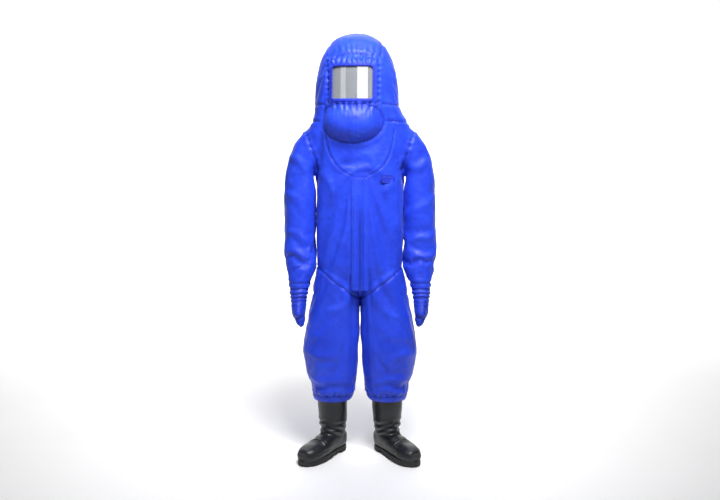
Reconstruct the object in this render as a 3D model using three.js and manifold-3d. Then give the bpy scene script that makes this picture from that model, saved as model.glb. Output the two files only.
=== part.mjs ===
// Chemical protective suit: a hooded one-piece coverall with a window in the hood, gloves and rubber boots,
// standing as it is worn. Millimetres, +Z up, the wearer faces -Y and their left side is +X.
// The origin is on the floor, in the middle of the suit's outer box.
import * as THREE from "three";
import { mergeVertices } from "three/addons/utils/BufferGeometryUtils.js";
import Module from "manifold-3d";

const wasm = await Module();
wasm.setup();
const { Manifold, Mesh: SolidMesh } = wasm;

// ---------- driving dimensions ----------
const seamGap = 0.4; // between fabric pieces that are sewn edge to edge
const layerGap = 0.3; // between layers that lie on each other
const cloth = 5; // padded suit fabric, with its lining
const lightCloth = 3;
const limbSides = 16;
const bodySides = 24;
const bodySquareness = 3; // superellipse power of the torso's sections
const limbSquareness = 2.2;

const crotch = new THREE.Vector2(2, 720); // x and z, where the legs part
const hipSide = new THREE.Vector2(186, 860); // the groin line's outer end
const armpit = new THREE.Vector2(185, 1285); // the armhole's lower end
const shoulderTip = new THREE.Vector2(235, 1445); // the armhole's upper end
const torsoTop = 1480;
const torsoDepth = 130; // half the depth of the chest

const hoodCentre = new THREE.Vector2(-14, -5); // x and y: the head leans a little to its right
const hoodSides = 20;
const hoodTurn = -6.5; // degrees, towards the wearer's right
const hoodBase = 1545;
const hoodTop = 1850;
const hoodHalfWidth = 180;
const hoodRoundness = 2.4;
const hoodDepthShare = 0.95; // depth over width
const faceWidth = 206; // opening in the hood
const faceTop = 1722;

const windowWidth = 176;
const windowHeight = 136;
const windowCorner = 14;
const windowBottom = 1562;
const faceTilt = -6; // degrees, the window leans back at its top
const facePanelProud = 1; // the cloth around the window stands this far out of the hood
const facePanelRadius = hoodHalfWidth * hoodDepthShare + facePanelProud;
const lensThickness = 2;
const lensLap = 9; // the lens reaches this far past the window's edge
const frameWidth = 12;
const frameThickness = 3;
const frameLap = 2; // the frame covers this much of the window all round
const gasketThickness = 4;

const chin = { x: -32, y: -126, z: 1480, wide: 132, deep: 76, high: 70 };
const bibHalfWidth = 150;
const bibBottom = 1246;
const bibTop = 1474;

const zipTop = 1236;
const zipBottom = 772;
const zipGap = 12; // between the front panels
const tapeWidth = 17;
const tapeThickness = 1;
const teethWidth = 5;
const teethThickness = 4;
const slider = { width: 11, length: 16, flange: 2 };
const pullTab = { width: 9, length: 38, thickness: 1.6 };
const flapWidth = 72;
const flapTop = 1240;
const flapBottom = 766;
const flapStandoff = 2.9; // from the front panels' middle to the flap's back
const stripWidth = 16; // hook-and-loop tape
const stripThickness = 1.4;
const patch = { width: 64, height: 34, thickness: 1.6, seat: 60, turn: 19.5, z: 1236 }; // degrees

const upperArmTop = 1256;
const elbowHeight = 1085;
const elbowSetback = 75;
const cuffBottom = 768;
const cuffHeight = 22;
const wristHeight = 752;
const wristSetback = 22;
const gloveWall = 3;

const kneeHeight = 460;
const kneeSetback = 80;
const hemBottom = 258;
const hemHeight = 27;

const bootSides = 14;
const bootTop = 345;
const bootWall = 5;
const bootFloor = 4;
const insoleThickness = 3;
const capLength = 72; // steel toe cap
const capThickness = 2;
const bootX = 123;
const shaftWidth = 141; // at the hem
const shaftHalf = shaftWidth / 2;
const hemFit = 5.1; // the hem's wall and its clearance round the boot
const shinFullness = 24.5; // the trouser leg stands this far out from the boot above its hem
const ankleY = 24;
const footLength = 300;
const footWidth = 108;
const soleTop = 26;
const heelLift = 12; // the sole plate's height above the floor, between heel and tread
const heelBack = 78; // the heel stands this far behind the ankle's axis
const leftSplay = 33; // degrees
const rightSplay = 36;

// ---------- helpers ----------
const rad = THREE.MathUtils.degToRad;
const suit = new THREE.Group();

const finishes = {
  suitFabric: { color: 0x1f3fd0, roughness: 0.78, metalness: 0 },
  liningFabric: { color: 0xd9dce2, roughness: 0.9, metalness: 0 },
  trimFabric: { color: 0x18309c, roughness: 0.85, metalness: 0 },
  gloveFabric: { color: 0x1c37b4, roughness: 0.8, metalness: 0 },
  windowPlastic: { color: 0xdfe8f2, roughness: 0.05, metalness: 0, transparent: true, opacity: 0.35 },
  blackRubber: { color: 0x17181a, roughness: 0.5, metalness: 0 },
  soleRubber: { color: 0x0f1011, roughness: 0.7, metalness: 0 },
  zipPlastic: { color: 0x1a2a70, roughness: 0.45, metalness: 0 },
  zipMetal: { color: 0x9a9da2, roughness: 0.35, metalness: 1 },
  steel: { color: 0x8b8f94, roughness: 0.4, metalness: 1 },
};

function addPiece(name, solid, finish, parent = suit) {
  const geometry = solid.isBufferGeometry ? solid : geometryOf(solid);
  const piece = new THREE.Mesh(geometry, new THREE.MeshStandardMaterial(finishes[finish]));
  piece.name = name;
  parent.add(piece);
  return piece;
}

function solidOf(geometry) {
  const bare = geometry.clone();
  for (const name of Object.keys(bare.attributes)) {
    if (name !== "position") bare.deleteAttribute(name);
  }
  const merged = mergeVertices(bare, 1e-3);
  const solid = new Manifold(
    new SolidMesh({
      numProp: 3,
      vertProperties: new Float32Array(merged.attributes.position.array),
      triVerts: new Uint32Array(merged.index.array),
    }),
  );
  if (solid.status() !== "NoError") throw new Error("not a closed shape: " + solid.status());
  return solid;
}

function geometryOf(solid) {
  const mesh = solid.getMesh();
  const geometry = new THREE.BufferGeometry();
  geometry.setAttribute("position", new THREE.BufferAttribute(new Float32Array(mesh.vertProperties), 3));
  geometry.setIndex(new THREE.BufferAttribute(new Uint32Array(mesh.triVerts), 1));
  geometry.computeVertexNormals();
  return geometry;
}

function box(width, depth, height, x, y, z) {
  return solidOf(new THREE.BoxGeometry(width, depth, height).translate(x, y, z));
}

// Everything on the outer side of a plane that holds the Y direction, as a solid to cut with. It runs from
// its lead before the start point to well past the end point.
function beyondPlane(start, end, side, lead) {
  const reach = 600;
  const along = end.clone().sub(start).normalize();
  const block = new THREE.BoxGeometry(reach, reach, reach + lead).translate(reach / 2, 0, (reach - lead) / 2);
  block.rotateY(Math.PI / 2 - Math.atan2(along.y, along.x));
  block.translate(start.x, 0, start.y);
  return side > 0 ? solidOf(block) : solidOf(block).mirror([1, 0, 0]);
}

// One section of a fabric tube: its centre, the direction it faces, and half its width and depth.
function ring(x, y, z, wide, deep, facing = [0, 0, -1]) {
  return {
    centre: new THREE.Vector3(x, y, z),
    facing: new THREE.Vector3(...facing).normalize(),
    wide,
    deep,
  };
}

// A section that spans from an inner point to an outer point in the front view.
function spanRing(inner, outer, deep, y = 0) {
  const middle = inner.clone().add(outer).multiplyScalar(0.5);
  const across = outer.clone().sub(inner);
  return ring(middle.x, y, middle.y, across.length() / 2, deep, [across.y, 0, -across.x]);
}

const flip = (rings, side) =>
  rings.map((r) => ({
    ...r,
    centre: new THREE.Vector3(r.centre.x * side, r.centre.y, r.centre.z),
    facing: new THREE.Vector3(r.facing.x * side, r.facing.y, r.facing.z),
  }));

const shifted = (r, distance) => ({ ...r, centre: r.centre.clone().addScaledVector(r.facing, distance) });

const power = (value, exponent) => Math.sign(value) * Math.abs(value) ** exponent;

// Sets a lathe-turned unit shape on a run of sections: height 0 to n-1 along the run, radius as a share of the
// section's size, less the wall where the unit shape's radius is marked as inner.
function setOnRings(unit, rings, wall, squareness) {
  const position = unit.attributes.position;
  const point = new THREE.Vector3();
  const across = new THREE.Vector3();
  const depthways = new THREE.Vector3(0, 1, 0);
  const upwards = new THREE.Vector3(0, 0, 1);
  for (let i = 0; i < position.count; i++) {
    point.fromBufferAttribute(position, i);
    const section = rings[Math.round(point.y)];
    const upright = Math.abs(section.facing.y) > 0.9 ? upwards : depthways;
    const radius = Math.hypot(point.x, point.z);
    const angle = Math.atan2(point.z, point.x);
    const inset = radius > 0.1 && radius < 0.75 ? wall : 0;
    const size = radius > 0.1 ? 1 : 0;
    across.crossVectors(upright, section.facing).normalize();
    const through = new THREE.Vector3().crossVectors(section.facing, across);
    const placed = section.centre
      .clone()
      .addScaledVector(across, size * (section.wide - inset) * power(Math.cos(angle), 2 / squareness))
      .addScaledVector(through, -size * (section.deep - inset) * power(Math.sin(angle), 2 / squareness));
    position.setXYZ(i, placed.x, placed.y, placed.z);
  }
  return solidOf(unit);
}

// An open tube with a wall, through all the sections.
function fabricTube(rings, { wall = cloth, sides = limbSides, squareness = limbSquareness } = {}) {
  const outside = rings.map((_, i) => new THREE.Vector2(1, i));
  const inside = rings.map((_, i) => new THREE.Vector2(0.5, i)).reverse();
  const profile = [...outside, ...inside, outside[0].clone()];
  return setOnRings(new THREE.LatheGeometry(profile, sides), rings, wall, squareness);
}

// A filled body through all the sections.
function filledTube(rings, { sides = limbSides, squareness = limbSquareness } = {}) {
  const profile = [
    new THREE.Vector2(0, 0),
    ...rings.map((_, i) => new THREE.Vector2(1, i)),
    new THREE.Vector2(0, rings.length - 1),
  ];
  return setOnRings(new THREE.LatheGeometry(profile, sides), rings, 0, squareness);
}

const grown = (rings, by) => rings.map((r) => ({ ...r, wide: r.wide + by, deep: r.deep + by }));

// A rounded rectangle in the XY plane, centred on the origin.
function roundedRectangle(width, height, corner) {
  const x = width / 2;
  const y = height / 2;
  const shape = new THREE.Shape();
  shape.moveTo(-x + corner, -y);
  shape.lineTo(x - corner, -y);
  shape.absarc(x - corner, -y + corner, corner, -Math.PI / 2, 0);
  shape.lineTo(x, y - corner);
  shape.absarc(x - corner, y - corner, corner, 0, Math.PI / 2);
  shape.lineTo(-x + corner, y);
  shape.absarc(-x + corner, y - corner, corner, Math.PI / 2, Math.PI);
  shape.lineTo(-x, -y + corner);
  shape.absarc(-x + corner, -y + corner, corner, Math.PI, Math.PI * 1.5);
  return shape;
}

const extrude = (shape, depth, curveSegments = 4) =>
  new THREE.ExtrudeGeometry(shape, { depth, bevelEnabled: false, curveSegments, steps: 1 });

// ---------- torso ----------
const torsoRings = [
  ring(0, 0, 700, 187, torsoDepth, [0, 0, 1]),
  ring(0, 0, 860, 187, torsoDepth, [0, 0, 1]),
  ring(0, 0, 1000, 183, torsoDepth, [0, 0, 1]),
  ring(0, 0, 1150, 181, torsoDepth, [0, 0, 1]),
  ring(0, 0, armpit.y, armpit.x, torsoDepth, [0, 0, 1]),
  ring(0, 0, 1370, 222, torsoDepth, [0, 0, 1]),
  ring(0, 0, 1430, 240, torsoDepth, [0, 0, 1]),
  ring(0, 0, torsoTop, 209, torsoDepth + 6, [0, 0, 1]),
];

function trimTorso(solid) {
  let trimmed = solid;
  for (const side of [1, -1]) {
    trimmed = trimmed.subtract(beyondPlane(armpit, shoulderTip, side, 0));
    trimmed = trimmed.subtract(beyondPlane(crotch, hipSide, side, 400));
  }
  return trimmed;
}

const torsoForm = { sides: bodySides, squareness: bodySquareness };

function buildTorso() {
  const shell = trimTorso(fabricTube(torsoRings, torsoForm));
  const reach = 700; // past the torso on every side
  const middle = (torsoTop + crotch.y) / 2;
  const zipCut = box(zipGap, reach, zipTop - zipBottom, 0, -reach / 2, (zipTop + zipBottom) / 2);
  for (const side of [1, -1]) {
    const half = box(reach, reach, 2 * reach, (side * (reach + seamGap)) / 2, -(reach + seamGap) / 2, middle);
    const name = side > 0 ? "front_panel_left" : "front_panel_right";
    addPiece(name, shell.intersect(half).subtract(zipCut), "suitFabric");
  }
  const rear = box(2 * reach, reach, 2 * reach, 0, (reach + seamGap) / 2, middle);
  addPiece("back_panel", shell.intersect(rear), "suitFabric");
}

function buildBib() {
  const outer = filledTube(grown(torsoRings, layerGap + lightCloth), torsoForm);
  const inner = filledTube(grown(torsoRings, layerGap), torsoForm);
  const curve = bibHalfWidth * 0.72; // how round the U is
  const outline = new THREE.Shape();
  outline.moveTo(-bibHalfWidth, bibTop);
  outline.bezierCurveTo(-bibHalfWidth, bibTop - curve, -curve, bibBottom, 0, bibBottom);
  outline.bezierCurveTo(curve, bibBottom, bibHalfWidth, bibTop - curve, bibHalfWidth, bibTop);
  const reach = 400;
  const cutter = solidOf(extrude(outline, reach, 8).rotateX(Math.PI / 2));
  addPiece("neck_bib", outer.subtract(inner).intersect(cutter), "suitFabric");
}

function buildPatch() {
  const plate = extrude(roundedRectangle(patch.width, patch.height, patch.height / 2 - 1), patch.thickness);
  const across = armpit.x * power(Math.cos(rad(patch.seat)), 2 / bodySquareness);
  const forward = torsoDepth * power(Math.sin(rad(patch.seat)), 2 / bodySquareness);
  const placed = plate
    .translate(0, 0, layerGap)
    .rotateX(Math.PI / 2)
    .rotateZ(rad(patch.turn))
    .translate(across, -forward, patch.z);
  addPiece("chest_patch", solidOf(placed), "trimFabric");
}

// ---------- front closure ----------
function buildZip() {
  const height = zipTop - zipBottom;
  const middle = (zipTop + zipBottom) / 2;
  const tapeY = -torsoDepth + cloth + 1.7; // just behind the panels' inner face
  const teethY = tapeY - 1;
  for (const side of [1, -1]) {
    const tapeInner = layerGap + teethWidth / 2;
    const tape = box(tapeWidth, tapeThickness, height - 10, side * (tapeInner + tapeWidth / 2), tapeY, middle);
    const teethX = (side * (layerGap + teethWidth)) / 2;
    const teeth = box(teethWidth, teethThickness, height - 10, teethX, teethY, middle);
    addPiece(side > 0 ? "zip_half_left" : "zip_half_right", tape.add(teeth), "zipPlastic");
  }
  const boxEnd = box(zipGap - 1, teethThickness + 1, 4.2, 0, teethY, zipBottom + 2.4);
  addPiece("zip_bottom_stop", boxEnd, "zipMetal");

  // The slider: two plates joined by a post, with a bridge that holds the pull tab.
  const sliderZ = zipTop - slider.length / 2 - 7;
  const plateGap = teethThickness + 0.7;
  const plates = [-1, 1].map((face) => {
    const plateY = teethY + (face * (plateGap + slider.flange)) / 2;
    return box(slider.width, slider.flange, slider.length, 0, plateY, sliderZ);
  });
  const front = teethY - plateGap / 2 - slider.flange;
  const bridge = box(2.6, 2.6, slider.length * 0.5, 0, front - 1.3, sliderZ);
  const post = box(0.2, plateGap, 0.2, 0, teethY, sliderZ); // runs in the gap between the teeth
  addPiece("zip_slider", plates[0].add(bridge).add(post).add(plates[1]), "zipMetal");

  const tabTop = sliderZ - slider.length * 0.25 - 0.5;
  const tabShape = roundedRectangle(pullTab.width, pullTab.length, 3);
  const tab = extrude(tabShape, pullTab.thickness).rotateX(Math.PI / 2);
  tab.translate(0, -torsoDepth - layerGap, tabTop - pullTab.length / 2);
  addPiece("zip_pull_tab", solidOf(tab), "zipMetal");
}

function buildFlap() {
  const height = flapTop - flapBottom;
  const back = -torsoDepth - flapStandoff;
  const outline = roundedRectangle(flapWidth, height, 10);
  const sheet = extrude(outline, lightCloth).rotateX(Math.PI / 2);
  sheet.translate(0, back, (flapTop + flapBottom) / 2);
  addPiece("storm_flap", solidOf(sheet), "suitFabric");
  const stripX = -flapWidth / 2 + stripWidth / 2 + 3;
  const stripHeight = height - 40;
  const middle = (flapTop + flapBottom) / 2;
  const hookY = back + layerGap + stripThickness / 2;
  const loopY = hookY + stripThickness + layerGap;
  const strip = (y) => box(stripWidth, stripThickness, stripHeight, stripX, y, middle);
  addPiece("flap_hook_strip", strip(hookY), "trimFabric");
  addPiece("flap_loop_strip", strip(loopY), "trimFabric");
}

// ---------- hood ----------
function hoodRings(inset, base = hoodBase) {
  const rings = [];
  const steps = 7;
  for (let i = 0; i <= steps; i++) {
    const share = Math.sin(((i / steps) * Math.PI) / 2) ** 0.9;
    const size = (1 - Math.min(share, 0.9995) ** hoodRoundness) ** (1 / hoodRoundness);
    const wide = Math.max((hoodHalfWidth - inset) * size, 6);
    const z = base + (hoodTop - inset - base) * share;
    rings.push(ring(0, 0, z, wide, Math.max(wide * hoodDepthShare, 6), [0, 0, 1]));
  }
  return rings;
}

function hoodBody(inset) {
  const base = hoodBase - (inset > 0 ? 2 : 0);
  return filledTube(hoodRings(inset, base), { sides: hoodSides, squareness: 2 });
}

function hoodLayer(inset, wall) {
  const floor = box(900, 900, 200, 0, 0, hoodBase - 100 + (inset > 0 ? 1 : 0));
  return hoodBody(inset).subtract(hoodBody(inset + wall)).subtract(floor);
}

function archOpening(width, top, reach = 400) {
  const outline = new THREE.Shape();
  const corner = 16;
  outline.moveTo(-width / 2, hoodBase - 50);
  outline.lineTo(width / 2, hoodBase - 50);
  outline.lineTo(width / 2, top - corner);
  outline.quadraticCurveTo(width / 2, top, width / 2 - corner, top);
  outline.lineTo(-width / 2 + corner, top);
  outline.quadraticCurveTo(-width / 2, top, -width / 2, top - corner);
  return solidOf(extrude(outline, reach, 5).rotateX(Math.PI / 2));
}

// A sheet bent round the head: part of a ring in plan, standing on z 0.
function bentSheet(outerRadius, thickness, width, height) {
  const half = Math.asin(Math.min(width / 2 / outerRadius, 0.99));
  const forward = -Math.PI / 2;
  const outline = new THREE.Shape();
  outline.absarc(0, 0, outerRadius, forward - half, forward + half, false);
  outline.absarc(0, 0, outerRadius - thickness, forward + half, forward - half, true);
  return solidOf(extrude(outline, height, 9));
}

function windowCutter(width, height, bottom) {
  const shape = roundedRectangle(width, height, windowCorner);
  return solidOf(extrude(shape, 400).rotateX(Math.PI / 2).translate(0, 0, bottom + height / 2));
}

function buildHood() {
  const turned = (solid) => solid.rotate([0, 0, hoodTurn]).translate([hoodCentre.x, hoodCentre.y, 0]);
  const shell = hoodLayer(0, cloth).subtract(archOpening(faceWidth, faceTop));
  addPiece("hood_shell", turned(shell), "suitFabric");
  const lining = hoodLayer(cloth + layerGap, lightCloth).subtract(archOpening(faceWidth + 60, faceTop + 28));
  addPiece("hood_lining", turned(lining), "liningFabric");

  // The window's layers are nested round the head, from the frame inwards.
  const onFace = (solid) =>
    solid
      .translate([0, facePanelRadius, 0])
      .rotate([faceTilt, 0, 0])
      .translate([0, -facePanelRadius, windowBottom]);
  const below = -11;
  const lensTop = windowHeight + lensLap;
  const lens = facePanelRadius - lightCloth - layerGap;
  const gasket = lens - lensThickness - layerGap;
  const opening = windowCutter(windowWidth, windowHeight, 0);
  const panelSheet = bentSheet(facePanelRadius, lightCloth, 250, faceTop - windowBottom - below + 20);
  const panel = onFace(panelSheet.translate([0, 0, below]).subtract(opening));
  const inArch = archOpening(faceWidth - 2 * seamGap, faceTop - seamGap);
  addPiece("face_panel", turned(panel.intersect(inArch)), "suitFabric");
  const lensSheet = bentSheet(lens, lensThickness, windowWidth + 2 * lensLap, lensTop + lensLap);
  addPiece("visor_lens", turned(onFace(lensSheet.translate([0, 0, -lensLap]))), "windowPlastic");
  const gasketSheet = bentSheet(gasket, gasketThickness, windowWidth + 2 * lensLap, lensTop + lensLap);
  const gasketRing = gasketSheet.translate([0, 0, -lensLap]).subtract(opening);
  addPiece("visor_gasket", turned(onFace(gasketRing)), "blackRubber");
  const frameSheet = bentSheet(
    facePanelRadius + layerGap + frameThickness,
    frameThickness,
    windowWidth + 2 * frameWidth,
    windowHeight + 2 * frameWidth,
  );
  const framed = windowCutter(windowWidth - 2 * frameLap, windowHeight - 2 * frameLap, frameLap);
  const binding = frameSheet.translate([0, 0, -frameWidth]).subtract(framed);
  addPiece("visor_frame", turned(onFace(binding)), "trimFabric");

  const hoodDepth = hoodHalfWidth * hoodDepthShare;
  const neck = [
    ring(0, 0, torsoTop + seamGap, 207, torsoDepth + 6, [0, 0, 1]),
    ring(hoodCentre.x / 2, hoodCentre.y / 2, 1510, 191, 150, [0, 0, 1]),
    ring(hoodCentre.x, hoodCentre.y, hoodBase - seamGap, hoodHalfWidth, hoodDepth, [0, 0, 1]),
  ];
  const neckForm = { sides: bodySides, squareness: 2.2 };
  addPiece("neck_bellows", fabricTube(neck, neckForm), "suitFabric");

  // The chin panel bellies out below the window, and is open towards the neck.
  const ball = (shrink) => {
    const geometry = new THREE.SphereGeometry(1, 18, 12);
    geometry.scale(chin.wide - shrink, chin.deep - shrink, chin.high - shrink);
    return solidOf(geometry.rotateZ(rad(hoodTurn)).translate(chin.x, chin.y, chin.z));
  };
  const head = [neck[2], { ...neck[2], centre: neck[2].centre.clone().setZ(hoodBase + 60) }];
  const bib = filledTube(grown(torsoRings, 2 * layerGap + lightCloth), torsoForm);
  const behind = filledTube(grown(neck, layerGap), neckForm)
    .add(filledTube(grown(head, layerGap), neckForm))
    .add(bib);
  addPiece("chin_panel", ball(0).subtract(ball(cloth)).subtract(behind), "suitFabric");
}

// ---------- arms ----------
const point = (x, z) => new THREE.Vector2(x, z);
const armhole = spanRing(armpit, shoulderTip, 84);
const shoulderRings = [
  shifted(armhole, seamGap),
  spanRing(point(192, 1283), point(283, 1388), 80),
  spanRing(point(203, 1268), point(309, 1330), 76),
  ring(265.5, 0, upperArmTop + seamGap, 59, 73),
];
const forearmLean = [-0.07, -0.18, -1];
const cuffTop = cuffBottom + cuffHeight;
const wrist = new THREE.Vector3(264, -47, wristHeight);
const handInward = 0; // how far the knuckles hang inside the wrist
const sleeveRings = {
  upper: [ring(265.5, 0, upperArmTop, 59, 73), ring(269, 0, elbowHeight + elbowSetback, 63, 71)],
  elbow: [
    ring(269, 0, elbowHeight + elbowSetback - seamGap, 63, 71),
    ring(269.5, 0, elbowHeight, 64, 71),
    ring(271, -4, elbowHeight - elbowSetback + seamGap, 62, 69),
  ],
  fore: [
    ring(271, -4, elbowHeight - elbowSetback, 62, 69),
    ring(271.5, -15, 940, 62, 67, forearmLean),
    ring(264, -29, 860, 58, 61, forearmLean),
    ring(263, -42, cuffTop, 48, 54),
  ],
  cuff: [ring(263, -42, cuffTop - seamGap, 48, 54), ring(262, -46, cuffBottom, 45, 50)],
};
const gauntletEnd = ring(wrist.x - 2, -45, wristHeight + wristSetback, 46, 51);
sleeveRings.gauntlet = grown([...sleeveRings.fore.slice(2), gauntletEnd], -cloth - 2 * layerGap);
const gloveCuff = sleeveRings.gauntlet[2];
sleeveRings.wrist = [
  shifted(gloveCuff, seamGap),
  ring(wrist.x, wrist.y - 3, wrist.z, 34, 42),
  ring(wrist.x + 1, wrist.y - 7, wristHeight - wristSetback + seamGap, 28, 42),
];
sleeveRings.palm = [
  ring(wrist.x + 1, wrist.y - 7, wristHeight - wristSetback, 28, 42),
  ring(wrist.x - handInward / 2, wrist.y - 20, 700, 25, 47),
  ring(wrist.x - handInward, wrist.y - 33, 664, 22, 47),
  ring(wrist.x - handInward - 2, wrist.y - 38, 648, 17, 43),
];

function finger(from, to, radius) {
  const direction = to.clone().sub(from);
  const capsule = new THREE.CapsuleGeometry(radius, direction.length(), 2, 8);
  const turn = new THREE.Quaternion().setFromUnitVectors(new THREE.Vector3(0, 1, 0), direction.normalize());
  capsule.applyQuaternion(turn);
  const middle = from.clone().add(to).multiplyScalar(0.5);
  return solidOf(capsule.translate(middle.x, middle.y, middle.z));
}

function gloveHand(side) {
  const rings = flip(sleeveRings.palm, side);
  const inside = rings.slice(0, 3).map((r) => ({ ...r, wide: r.wide - gloveWall, deep: r.deep - gloveWall }));
  inside[0] = shifted(inside[0], -1);
  let hand = filledTube(rings);
  const fingerLengths = [30, 42, 46, 34]; // from the thumb's side
  const fingerPitch = 20.5;
  fingerLengths.forEach((length, i) => {
    const y = wrist.y - 38 + (i - (fingerLengths.length - 1) / 2) * fingerPitch;
    const knuckle = new THREE.Vector3(side * (wrist.x - handInward - 2), y, 655);
    const tip = new THREE.Vector3(side * (wrist.x - handInward - 9 - 3 * (i % 2)), y - 7, 655 - length);
    hand = hand.add(finger(knuckle, tip, 11.5));
  });
  const thumbRoot = new THREE.Vector3(side * (wrist.x - handInward / 2), wrist.y - 46, 706);
  const thumbTip = new THREE.Vector3(side * (wrist.x - handInward - 2), wrist.y - 82, 664);
  hand = hand.add(finger(thumbRoot, thumbTip, 12.5));
  return hand.subtract(filledTube(inside));
}

function buildArm(side) {
  const label = side > 0 ? "left" : "right";
  const tube = (part, options) => fabricTube(flip(sleeveRings[part], side), options);
  addPiece(`${label}_shoulder_gusset`, fabricTube(flip(shoulderRings, side)), "suitFabric");
  addPiece(`${label}_upper_sleeve`, tube("upper"), "suitFabric");
  addPiece(`${label}_elbow_section`, tube("elbow"), "suitFabric");
  addPiece(`${label}_forearm_sleeve`, tube("fore"), "suitFabric");
  addPiece(`${label}_sleeve_cuff`, tube("cuff", { wall: 4 }), "trimFabric");
  addPiece(`${label}_glove_gauntlet`, tube("gauntlet", { wall: gloveWall }), "gloveFabric");
  addPiece(`${label}_glove_wrist`, tube("wrist", { wall: gloveWall }), "gloveFabric");
  addPiece(`${label}_glove_hand`, gloveHand(side), "gloveFabric");
}

// ---------- legs ----------
const groin = spanRing(crotch, hipSide, torsoDepth);
const legStart = ring(107, 0, 673.5, 121, 118, groin.facing.toArray());
const trouserRings = {
  hip: [shifted(groin, seamGap), shifted(legStart, -seamGap)],
  thigh: [
    legStart,
    ring(119, 0, 615, 114, 116, [0.2, 0, -1]),
    ring(126, 0, kneeHeight + kneeSetback, 120, 116),
  ],
  knee: [
    ring(126, 0, kneeHeight + kneeSetback - seamGap, 120, 116),
    ring(130, -2, kneeHeight + 22, 123, 119),
    ring(124, 2, kneeHeight - kneeSetback + seamGap, 111, 106),
  ],
  shin: [
    ring(124, 2, kneeHeight - kneeSetback, 111, 106),
    ring(119, 8, 335, shaftHalf + shinFullness + 4, shaftHalf + shinFullness + 3),
    ring(119, 14, hemBottom + hemHeight, shaftHalf + shinFullness, shaftHalf + shinFullness - 1),
  ],
  hem: [
    ring(119, 14, hemBottom + hemHeight - seamGap, shaftHalf + shinFullness - 1, shaftHalf + shinFullness - 2),
    ring(bootX, ankleY, hemBottom, shaftHalf + hemFit, shaftHalf + hemFit),
  ],
};

function buildLeg(side) {
  const label = side > 0 ? "left" : "right";
  const tube = (part, options) => fabricTube(flip(trouserRings[part], side), options);
  addPiece(`${label}_hip_gusset`, tube("hip"), "suitFabric");
  addPiece(`${label}_thigh_leg`, tube("thigh"), "suitFabric");
  addPiece(`${label}_knee_section`, tube("knee"), "suitFabric");
  addPiece(`${label}_shin_leg`, tube("shin"), "suitFabric");
  addPiece(`${label}_hem_band`, tube("hem", { wall: 4 }), "trimFabric");
}

// ---------- boots ----------
// Drawn with the toes towards -Y and the ankle's axis at x 0, y 0, then turned out and set under the leg.
const toe = heelBack - footLength;
const alongFoot = (share) => toe + share * footLength; // from the toe to the heel
const footRings = (inset) => [
  ring(0, heelBack - 6 - inset, 62, 22 - inset, 26 - inset, [0, -1, 0]),
  ring(0, heelBack - 22 - inset / 2, 64, 38 - inset, 42 - inset, [0, -1, 0]),
  ring(0, alongFoot(0.84), 68, 43 - inset, 50 - inset, [0, -1, 0]),
  ring(0, alongFoot(0.64), 66, 43 - inset, 52 - inset, [0, -1, 0]),
  ring(2, alongFoot(0.44), 52, 49 - inset, 42 - inset, [0, -1, 0]),
  ring(2, alongFoot(0.24), 46, footWidth / 2 - 3 - inset, 36 - inset, [0, -1, 0]),
  ring(1, toe + 38, 44, 46 - inset, 33 - inset, [0, -1, 0]),
  ring(0, toe + 10 + inset / 2, 42, 26 - inset, 22 - inset, [0, -1, 0]),
];
const shaftRings = (inset) => [
  ring(0, 2, 60, 44 - inset, 60 - inset, [0, 0, 1]),
  ring(0, 4, 110, 52 - inset, 62 - inset, [0, 0, 1]),
  ring(0, 2, 160, 62 - inset, 66 - inset, [0, 0, 1]),
  ring(0, 0, hemBottom, shaftHalf - 3 - inset, shaftHalf - inset, [0, 0, 1]),
  ring(0, 0, bootTop + (inset ? 2 : 0), shaftHalf - inset, shaftHalf + 2 - inset, [0, 0, 1]),
];

function soleOutline(grow = 0) {
  const half = footWidth / 2 + grow;
  const heelHalf = 38 + grow;
  const back = heelBack + grow;
  const front = toe - grow;
  const outline = new THREE.Shape();
  outline.moveTo(0, front);
  outline.bezierCurveTo(half * 0.72, front, half + 3, front + 52, half, front + 98);
  outline.bezierCurveTo(half - 3, front + 150, heelHalf, back - 110, heelHalf, back - 58);
  outline.bezierCurveTo(heelHalf, back - 14, heelHalf * 0.62, back, 0, back);
  outline.bezierCurveTo(-heelHalf * 0.62, back, -heelHalf, back - 14, -heelHalf, back - 58);
  outline.bezierCurveTo(-heelHalf, back - 110, -half + 4, front + 150, -half, front + 98);
  outline.bezierCurveTo(-half - 3, front + 52, -half * 0.72, front, 0, front);
  return outline;
}

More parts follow.
